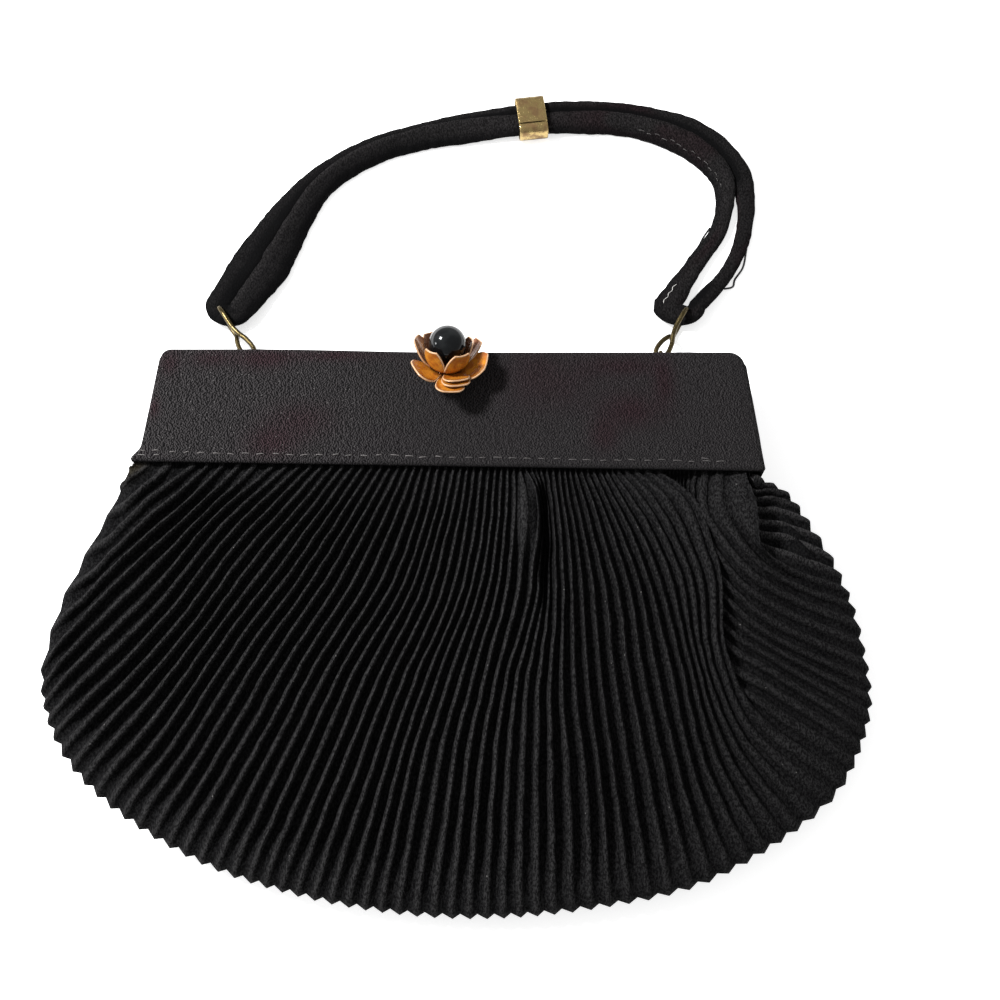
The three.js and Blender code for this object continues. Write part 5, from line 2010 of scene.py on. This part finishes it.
    def flower(self) -> None:
        """Build the petals, cup, stem and foot."""
        parts = MeshParts("rim", "hollow")
        for row in PETALS:
            self.add_petal(parts, row)
        self.lathe(parts, CUP, True, hollow=self.cup_copper)
        turn = np.linspace(0, np.pi / 2, self.round_steps)
        top = self.seat + self.foot_thick
        edge_radius = self.foot_radius - self.foot_round * (1 - np.cos(turn))
        edge_height = top - self.foot_round * (1 - np.sin(turn))
        foot = [
            (self.pole, self.seat),
            (self.foot_radius, self.seat),
            *zip(edge_radius, edge_height),
            (self.collar_radius, top + self.collar_height),
            (self.stem_radius, top + self.stem_from),
            (self.stem_radius, self.base[2] + self.stem_into),
        ]
        self.lathe(parts, foot, False, hollow=self.stem_copper)
        place(parts.piece("flower_petals", [self.finishes.enamel], self.crisp), "enamel", "flower")

    def bead(self) -> None:
        """Build the round bead."""
        angle = np.linspace(-np.pi / 2, np.pi / 2, self.bead_steps)
        radius = np.maximum(self.pole, self.bead_radius * np.cos(angle))
        height = self.bead_height + self.bead_radius * np.sin(angle)
        parts = MeshParts()
        self.lathe(parts, np.stack([radius, height], axis=1), True)
        place(parts.piece("flower_bead", [self.finishes.glass], self.bead_crisp), "bead", "bead")

    def build(self) -> None:
        """Build the flower and its bead."""
        self.flower()
        self.bead()


# Legs of the doubled strap from the left end to the right one: the middle line, the width, the height of the
# middle, and how far the side next to the other leg is tilted up.
FRONT_LEG = Table("station x y width z tilt", [
    (0, -69.4, 51.1, 8.0, 3.6, 0.0),
    (1, -60.2, 66.7, 10.0, 2.4, 0.9),
    (2, -53.2, 83.2, 8.0, 2.3, 1.1),
    (3, -44.9, 98.8, 6.9, 2.3, 1.1),
    (4, -30.8, 110.3, 6.8, 2.3, 1.1),
    (5, -13.6, 117.0, 7.4, 2.3, 1.1),
    (6, 4.3, 120.3, 8.0, 2.7, 0.9),
    (7, 22.4, 122.1, 7.4, 3.5, 0.5),
    (8, 40.5, 123.6, 7.6, 2.7, 0.9),
    (9, 58.6, 122.2, 7.6, 2.3, 1.1),
    (10, 75.4, 115.4, 8.6, 2.3, 1.1),
    (11, 87.4, 101.8, 7.2, 2.1, 0.8),
    (12, 86.2, 84.6, 5.6, 1.6, 0.2),
    (13, 76.4, 68.6, 6.2, 1.8, 0.1),
    (14, 66.6, 53.0, 8.8, 3.4, 0.0),
])
BACK_LEG = Table("station x y width z tilt", [
    (0, -76.6, 53.4, 7.8, 3.6, 0.0),
    (1, -68.9, 70.3, 9.2, 1.5, 0.0),
    (2, -59.3, 88.0, 7.8, 1.3, 0.0),
    (3, -48.0, 102.6, 6.0, 1.3, 0.0),
    (4, -31.8, 114.4, 5.3, 1.3, 0.0),
    (5, -14.0, 121.3, 4.8, 1.3, 0.0),
    (6, 5.6, 125.7, 4.8, 2.1, 0.0),
    (7, 25.5, 128.0, 4.9, 3.4, 0.0),
    (8, 44.3, 129.4, 5.8, 2.1, 0.0),
    (9, 64.2, 127.2, 6.8, 1.3, 0.0),
    (10, 81.4, 120.0, 7.6, 1.3, 0.0),
    (11, 92.8, 105.8, 8.0, 1.3, 0.0),
    (12, 94.4, 86.2, 5.4, 1.3, 0.0),
    (13, 88.4, 68.5, 4.8, 1.6, 0.0),
    (14, 76.3, 53.0, 5.6, 3.4, 0.0),
])

# Ragged edges of the strap: seed, share of the width, and length along it.
RAGGED = ((8, 0.05, 5.0), (9, 0.035, 1.6))

# Ends of thread that hang loose from the strap's right half.
LOOSE_ENDS = (
    ((94.0, 75.4, 1.5), (92.4, 68.5, 1.0), (89.6, 64.3, 0.5), (88.8, 61.8, 0.5), (86.0, 61.0, 0.5)),
    ((82.4, 82.8, 2.0), (80.0, 79.4, 1.2), (78.2, 75.6, 0.5)),
)


@dataclass(frozen=True)
class Sections:
    """Cross-sections along a run of the strap, one to a row."""

    middle: Array
    across: Array
    width: Array
    tilt: Array
    front: Array


@dataclass
class ClothStrap:
    """The doubled cloth strap: one closed loop of folded cloth, turned round the two links."""

    finishes: Finishes
    legs: int = 330
    measured: int = 99
    turn_steps: int = 16
    sides: int = 28
    square: float = 0.7
    thick: float = 3.2
    turn_flat: float = 0.6
    lowest: float = 0.02
    crown: float = 0.2
    top: Span = (0.1, 0.6)
    left_half: Span = (20.0, -30.0)
    right_half: Span = (20.0, 60.0)
    free_edge: Span = (0.25, 0.95)
    free_least: float = 0.35
    pucker: float = 0.42
    pucker_least: float = 0.2
    pucker_length: float = 1.25
    puckers_across: float = 1.5
    swell: float = 0.2
    swell_length: float = 9.0
    swells_across: float = 1.2
    settle: float = 0.15
    # Painted shade on the strap: dark dents along the free edge, a dark gap where the back leg lies under
    # the front one, darker edges and a darker left half.
    dimple: float = 0.5
    dimpled: Span = (0.1, -0.5)
    dimple_at: float = 1.2
    tucked: float = 0.95
    tucked_under: Span = (0.25, -0.55)
    together_x: Span = (84.0, 80.0)
    together_y: Span = (96.0, 104.0)
    turned_edge: float = 0.75
    turned_out: Span = (0.1, 1.0)
    inner_edge: float = 0.25
    inner_out: Span = (0.8, 1.0)
    behind_edge: float = 0.25
    behind_out: Span = (0.6, 1.0)
    behind: Span = (0.3, 0.6)
    left_front_shade: float = 0.5
    left_front_shade_span: Span = (-0.75, -0.3)
    darkest: float = 0.95
    stained: Span = (0.1, 0.7)
    stain_length: float = 13.0
    stains_across: float = 0.8
    ribbed: float = 0.15
    crisp: float = 70.0
    thread_sides: int = 6
    loose: float = 0.33
    loose_steps: int = 24
    sewn: Span = (0.655, 0.8)
    sewn_pitch: float = 2.6
    sewn_half: Span = (0.6, 1.0)
    sewn_across: float = 0.24
    sewn_stray: float = 0.3
    sewn_tilt: float = 0.44
    sewn_dive: float = 0.25
    sewn_lift: float = 0.02
    sewn_points: int = 5
    sewn_thread: float = 0.11
    basted: Span = (0.965, 0.998)
    basting_points: int = 7
    basting_steps: int = 60
    basting_zigzag: float = 0.25
    basting_aside: float = -1.6
    basting_lift: float = 0.1
    basting_thread: float = 0.084

    def leg(self, table: Table, share: Array) -> Sections:
        """Sections of one leg.

        Args:
            table: Rows of the leg.
            share: Shares along it.

        Returns:
            The sections.
        """
        station = share * table.key[-1]
        route = Route(np.stack([table.columns["x"], table.columns["y"], table.columns["z"]], axis=1))
        heading = route.heading(np.clip(share, 0.001, 0.999))
        outward = unit(np.stack([-heading[:, 1], heading[:, 0], np.zeros(len(share))], axis=1))
        is_front = table is FRONT_LEG
        across = -outward if is_front else outward
        front = np.full(len(share), float(is_front))
        width, tilt = table.read("width", station), table.read("tilt", station)
        return Sections(route.at(share), across, width, tilt, front)

    def turn(self, start: Table, end: Table, share: float) -> Sections:
        """Sections round the fold from the end of one leg to the other.

        Args:
            start: Leg that the fold starts from.
            end: Leg that it goes to.
            share: End of the legs, 0 or 1.

        Returns:
            The sections.
        """
        first, last = self.leg(start, np.array([share])), self.leg(end, np.array([share]))
        part = np.arange(1, self.turn_steps) / self.turn_steps
        centre = (first.middle[0] + last.middle[0]) / 2
        spoke = first.middle[0] - centre
        angle = -np.pi * part
        beside = np.array([-spoke[1], spoke[0], 0])
        spun = np.outer(np.cos(angle), spoke) + np.outer(np.sin(angle), beside)
        across = unit(spun * [1, 1, 0])
        spun = spun + np.outer(np.sin(np.pi * part), (1 - self.turn_flat) * beside)
        width = mix(first.width, last.width, part)
        return Sections(centre + spun, across, width, 0 * part, mix(first.front, last.front, part))

    def sections(self) -> Sections:
        """All sections round the loop, from the left end of the back leg.

        Returns:
            The sections.
        """
        share = np.linspace(0, 1, self.legs)
        runs = [
            self.leg(BACK_LEG, share),
            self.turn(BACK_LEG, FRONT_LEG, 1.0),
            self.leg(FRONT_LEG, share[::-1]),
            self.turn(FRONT_LEG, BACK_LEG, 0.0),
        ]
        names = ("middle", "across", "width", "tilt", "front")
        return Sections(*(np.concatenate([getattr(run, name) for run in runs]) for name in names))

    def cloth(self) -> None:
        """Fold the cloth, puckered along the front leg's free edge, with painted shade in its shade mark."""
        rows = self.sections()
        angle = (np.arange(self.sides) + 0.5) * 2 * np.pi / self.sides
        wide = np.sign(np.cos(angle)) * np.abs(np.cos(angle)) ** self.square
        high = np.sign(np.sin(angle)) * np.abs(np.sin(angle)) ** self.square
        steps = np.linalg.norm(np.diff(rows.middle, axis=0), axis=1)
        run = np.concatenate([[0], np.cumsum(steps)])[:, None]
        x, y = rows.middle[:, :1], rows.middle[:, 1:2]
        left = smooth(x, *self.left_half)
        front = rows.front[:, None]
        free = smooth(wide, *self.free_edge) * mix(self.free_least, 1, front * left)
        puckers = Wobble(6)
        along = run / self.pucker_length
        ripple = puckers.at(along, wide * self.puckers_across) * mix(self.pucker_least, 1, free)
        swell = Wobble(7).at(run / self.swell_length, wide * self.swells_across)
        top = smooth(high, *self.top)
        crown = 1 - self.crown * wide**2
        lift = high * self.thick / 2 * mix(1, crown, top) - rows.tilt[:, None] * wide
        lift = lift + (self.pucker * ripple + self.swell * swell - self.settle) * top
        edge = 1.0 * (wide > 0)
        ragged = sum(share * Wobble(seed).at(run / length, edge) for seed, share, length in RAGGED)
        out = wide * (rows.width[:, None] / 2) * (1 + ragged)
        grid = rows.middle[:, None] + rows.across[:, None] * out[..., None]
        grid[..., 2] = np.maximum(grid[..., 2] + lift, self.lowest)
        # Painted shade: dents, the gap between the legs, the legs' edges and the left half are darkened.
        dimples = free * smooth(puckers.at(along, self.dimple_at), *self.dimpled)
        together = smooth(x, *self.together_x) + smooth(y, *self.together_y)
        behind = self.tucked * smooth(wide, *self.tucked_under) * np.clip(together, 0, 1)
        behind = behind + self.behind_edge * smooth(wide, *self.behind_out) + mix(*self.behind, left)
        before = self.turned_edge * smooth(wide, *self.turned_out)
        before = before + self.inner_edge * smooth(-wide, *self.inner_out)
        before = before + self.left_front_shade * left * smooth(wide, *self.left_front_shade_span)
        shade = mix(behind, before, front) + self.dimple * dimples * left
        stain = smooth(Wobble(10).at(run / self.stain_length, wide * self.stains_across), *self.stained)
        marks = {
            "shade": np.clip(shade, 0, self.darkest),
            "stain": stain * smooth(x, *self.right_half),
            "ribbed": self.ribbed,
        }
        parts = MeshParts(*marks)
        parts.add_grid(grid, ring=True, loop=True, **marks)
        place(parts.piece("strap_cloth", [self.finishes.strap_crape], self.crisp), "crape", "strap")

    def sewing(self) -> None:
        """Add the stitches and loose ends of thread."""
        rng = np.random.default_rng(SEED + 40)
        parts = MeshParts()
        sides = self.thread_sides
        for points in LOOSE_ENDS:
            path = Route(points).at(np.linspace(0, 1, self.loose_steps))
            parts.add_tube(path, self.loose, sides, skin=StrapThread.BLACK)
        middle = self.leg(FRONT_LEG, np.linspace(0, 1, self.measured)).middle
        length = np.linalg.norm(np.diff(middle, axis=0), axis=1).sum()
        start, end = self.sewn
        bow = np.linspace(-1, 1, self.sewn_points)
        for share in np.linspace(start, end, int((end - start) * length / self.sewn_pitch)):
            half = rng.uniform(*self.sewn_half) / length
            rows = self.leg(FRONT_LEG, np.linspace(share - half, share + half, self.sewn_points))
            aside = rows.width * self.sewn_across + rng.normal(0, self.sewn_stray)
            path = rows.middle + rows.across * aside[:, None]
            path[:, 2] += self.thick / 2 - self.sewn_tilt * rows.tilt - self.sewn_dive * bow**2
            path[:, 2] += self.sewn_lift
            parts.add_tube(path, self.sewn_thread, sides, skin=StrapThread.DULL)
        rows = self.leg(FRONT_LEG, np.linspace(*self.basted, self.basting_points))
        zigzag = self.basting_zigzag * np.cos(np.pi * np.arange(self.basting_points))
        path = rows.middle + np.outer(zigzag + self.basting_aside, [1, 0, 0])
        path[:, 2] += self.thick / 2 + self.basting_lift
        path = Route(path).at(np.linspace(0, 1, self.basting_steps))
        parts.add_tube(path, self.basting_thread, sides, skin=StrapThread.WHITE)
        skins = [self.finishes.black_thread, self.finishes.white_thread, self.finishes.dull_thread]
        place(parts.piece("strap_thread", skins), "crape")

    def build(self) -> None:
        """Build the strap and its sewing."""
        self.cloth()
        self.sewing()


# Twisted figure-eight link: distance along it, across its lower lobe and over its upper lobe.
LINK_PATH = np.array([
    (0, 0, 0), (2.4, 1.7, 0), (6.5, 1.6, 0.2), (9.6, 0.5, 0.8), (12.2, 0, 1.3), (17.4, 0, 2.5), (20, 0, 1.4),
    (20, 0, -1.6), (17.6, 0, -3), (12, 0, -4.1), (9.6, -0.5, -0.8), (6.5, -1.6, -0.2), (2.4, -1.7, 0),
])


@dataclass
class StrapHardware:
    """Wire eyes in the frame, twisted links, and the brass slide round the strap."""

    finishes: Finishes
    covered: CoveredFrame
    wire: float = 0.6
    link_wire: float = 0.78
    darkened: float = 1.0
    eye_z: float = 7.6
    half_span: float = 2.2
    stand: float = 6.8
    hang: float = 2.1
    drop: float = 3.6
    foot: float = 2.2
    link_length: float = 20.0
    wire_sides: int = 14
    eye_steps: int = 90
    link_steps: int = 180
    left_fold: Point = (-75.6, 51.4, 3.8)
    right_fold: Point = (72.6, 51.0, 3.8)
    slide_at: Point = (24.1, 124.6, 3.5)
    slide_heading: float = 7.0
    bore_width: float = 13.4
    bore_height: float = 5.6
    slide_length: float = 9.6
    slide_wall: float = 0.7
    slide_corner: float = 2.6
    seam: float = 0.5
    seam_share: float = 0.19
    slide_steps: int = 110
    corner_steps: int = 9
    strip_steps: int = 12
    end_steps: int = 5
    rubbed: float = 0.7
    rubbed_reach: float = 0.8

    def eye(self, side: Side) -> None:
        """Build a wire eye: a staple clinched inside the frame.

        Args:
            side: End of the frame.
        """
        half, stand, drop, foot = self.half_span, self.stand, self.drop, self.foot
        bend = stand - 2 * half / 3
        clinch = [(-drop, half + foot / 4), (-drop, half + foot)]
        right = [(stand, half / 2), (bend, half), (-drop / 2, half), *clinch]
        rows = [(y, -z) for y, z in right[::-1]] + right
        path = Route([(side.value, self.covered.top_y + y, self.eye_z + z) for y, z in rows])
        parts = MeshParts("stain", "rubbed")
        path = path.at(np.linspace(0, 1, self.eye_steps))
        parts.add_tube(path, self.wire, self.wire_sides, stain=self.darkened)
        name = f"eye_{side.name.lower()}"
        place(parts.piece(f"{name}_wire", [self.finishes.brass]), "aged_brass", name)

    def link(self, side: Side) -> None:
        """Build a twisted link from an eye to a fold of the strap.

        Args:
            side: End of the frame.
        """
        fold = np.array(self.left_fold if side is Side.LEFT else self.right_fold)
        eye_top = np.array([side.value, self.covered.top_y + self.stand, self.eye_z])
        along = unit(fold - eye_top)
        start = eye_top - along * self.hang
        scale = np.linalg.norm(fold - start) / self.link_length
        across = unit(np.array([along[1], -along[0], 0]))
        over = np.cross(across, along)
        points = start + LINK_PATH @ np.stack([scale * along, across, over])
        path = Route(points, closed=True).at(np.linspace(0, 1, self.link_steps, endpoint=False))
        parts = MeshParts("stain", "rubbed")
        parts.add_tube(path, self.link_wire, self.wire_sides, closed=True, stain=self.darkened)
        name = f"link_{side.name.lower()}"
        place(parts.piece(f"{name}_wire", [self.finishes.brass]), "aged_brass", name)

    def slide_outline(self) -> Array:
        """Middle line of the slide's strip, from one side of its seam round to the other.

        Returns:
            Points across the strap and up.
        """
        width = self.bore_width
        half_x, half_z = (width + self.slide_wall) / 2, (self.bore_height + self.slide_wall) / 2
        corner = self.slide_corner - self.slide_wall / 2
        seam_x = width * self.seam_share - width / 2
        turn = np.linspace(0, np.pi / 2, self.corner_steps)
        arc = corner * np.stack([np.cos(turn), np.sin(turn)], axis=1)
        right_top = arc[::-1] + [half_x - corner, half_z - corner]
        right_low = arc * [1, -1] + [half_x - corner, corner - half_z]
        left_low = arc[::-1] * [-1, -1] + [corner - half_x, corner - half_z]
        left_top = arc * [-1, 1] + [corner - half_x, half_z - corner]
        first = [[seam_x + self.seam / 2, half_z]]
        last = [[seam_x - self.seam / 2, half_z]]
        corners = np.concatenate([first, right_top, right_low, left_low, left_top, last])
        steps = np.concatenate([[0], np.cumsum(np.linalg.norm(np.diff(corners, axis=0), axis=1))])
        even = np.linspace(0, steps[-1], self.slide_steps)
        return np.stack([np.interp(even, steps, corners[:, k]) for k in range(2)], axis=1)

    def slide(self) -> None:
        """Build the slide: a brass strip bent round both legs, with rounded ends and a seam."""
        outline = self.slide_outline()
        tangent = unit(np.gradient(outline, axis=0))
        outward = np.stack([-tangent[:, 1], tangent[:, 0]], axis=1)
        half, thick = self.slide_length / 2, self.slide_wall / 2
        turn = np.linspace(0, np.pi, self.end_steps + 2)[1:-1]
        plain = np.linspace(-half + thick, half - thick, self.strip_steps)
        rounded = half - thick + thick * np.sin(turn)
        flat_side = np.ones(self.strip_steps)
        reach = np.concatenate([plain, rounded, plain[::-1], -rounded])
        level = np.concatenate([flat_side, np.cos(turn), -flat_side, -np.cos(turn)]) * thick
        flat = outline[:, None] + outward[:, None] * level[None, :, None]
        turned = math.radians(self.slide_heading)
        heading = np.array([math.cos(turned), math.sin(turned), 0])
        aside = np.array([-heading[1], heading[0], 0])
        grid = np.array(self.slide_at) + flat[..., :1] * aside + reach[None, :, None] * heading
        grid[..., 2] += flat[..., 1]
        rubbed = self.rubbed * smooth(np.abs(reach), half - self.rubbed_reach, half)
        parts = MeshParts("stain", "rubbed")
        numbers = parts.add_grid(grid, ring=True, rubbed=rubbed)
        parts.cap(numbers[0][::-1])
        parts.cap(numbers[-1])
        place(parts.piece("strap_slide", [self.finishes.brass]), "aged_brass", "slide")

    def build(self) -> None:
        """Build the eyes, the links and the slide."""
        for side in Side:
            self.eye(side)
            self.link(side)
        self.slide()


@dataclass(frozen=True)
class Lamp:
    """A soft square lamp: its place, its side in millimetres and its power in watts."""

    name: str
    at: Point
    size: float
    power: float


LAMPS = (
    Lamp("key_lamp", (-540, 220, 690), 160, 16.0),
    Lamp("low_lamp", (-680, -30, 210), 110, 0.85),
)


@dataclass
class Studio:
    """Camera, soft light and pale floor."""

    target: Point = (13.5, -18.0, 18.0)
    camera: Point = (13.5, -146.9, 372.3)
    lit_point: Point = (0, 0, 10)
    nearest: float = 0.01
    lens: float = 46.8
    sensor: float = 36.0
    floor_half: float = 2500.0
    floor_z: float = -0.02
    floor_lines: int = 9
    sky: float = 0.55

    def aim(self, thing: Object, place_at: Point, look_at: Point) -> None:
        """Put a camera or lamp at a place, facing a point.

        Args:
            thing: Camera or lamp.
            place_at: Its place.
            look_at: The point that it faces.
        """
        thing.location = Vector(place_at) * MM
        thing.rotation_mode = "QUATERNION"
        thing.rotation_quaternion = (Vector(look_at) - Vector(place_at)).to_track_quat("-Z", "Y")
        bpy.context.scene.collection.objects.link(thing)

    def light(self, lamp: Lamp) -> None:
        """Add a lamp that faces the bag.

        Args:
            lamp: The lamp.
        """
        light = bpy.data.lights.new(lamp.name, "AREA")
        light.size = lamp.size * MM
        light.energy = lamp.power
        self.aim(bpy.data.objects.new(lamp.name, light), lamp.at, self.lit_point)

    def build(self) -> None:
        """Set up the camera, the lamps, the sky and the floor."""
        scene = bpy.context.scene
        lens = bpy.data.cameras.new("camera")
        lens.lens = self.lens
        lens.sensor_width = self.sensor
        lens.clip_start = self.nearest
        camera = bpy.data.objects.new("camera", lens)
        self.aim(camera, self.camera, self.target)
        scene.camera = camera
        for lamp in LAMPS:
            self.light(lamp)
        world = bpy.data.worlds.new("studio_sky")
        world.use_nodes = True
        sky = world.node_tree.nodes["Background"]
        sky.inputs["Color"].default_value = (1, 1, 1, 1)
        sky.inputs["Strength"].default_value = self.sky
        scene.world = world
        scene.view_settings.view_transform = "Standard"
        lines = np.linspace(-self.floor_half, self.floor_half, self.floor_lines)
        x, y = np.meshgrid(lines, lines, indexing="ij")
        parts = MeshParts()
        parts.add_grid(np.stack([x, y, np.full(x.shape, self.floor_z)], axis=-1), flip=True)
        floor = parts.piece("floor", [PaleFloor().build()])


def main() -> None:
    """Build the studio and the bag, piece by piece."""
    logging.basicConfig(level=logging.INFO, format="%(name)s: %(message)s")
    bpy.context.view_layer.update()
    finishes = Finishes()
    Studio().build()
    covered = CoveredFrame(finishes)
    covered.build()
    PleatedPouch(finishes, covered).build()
    FlowerKnob(finishes).build()
    ClothStrap(finishes).build()
    StrapHardware(finishes, covered).build()
    bpy.context.view_layer.update()


if __name__ == "__main__":
    main()
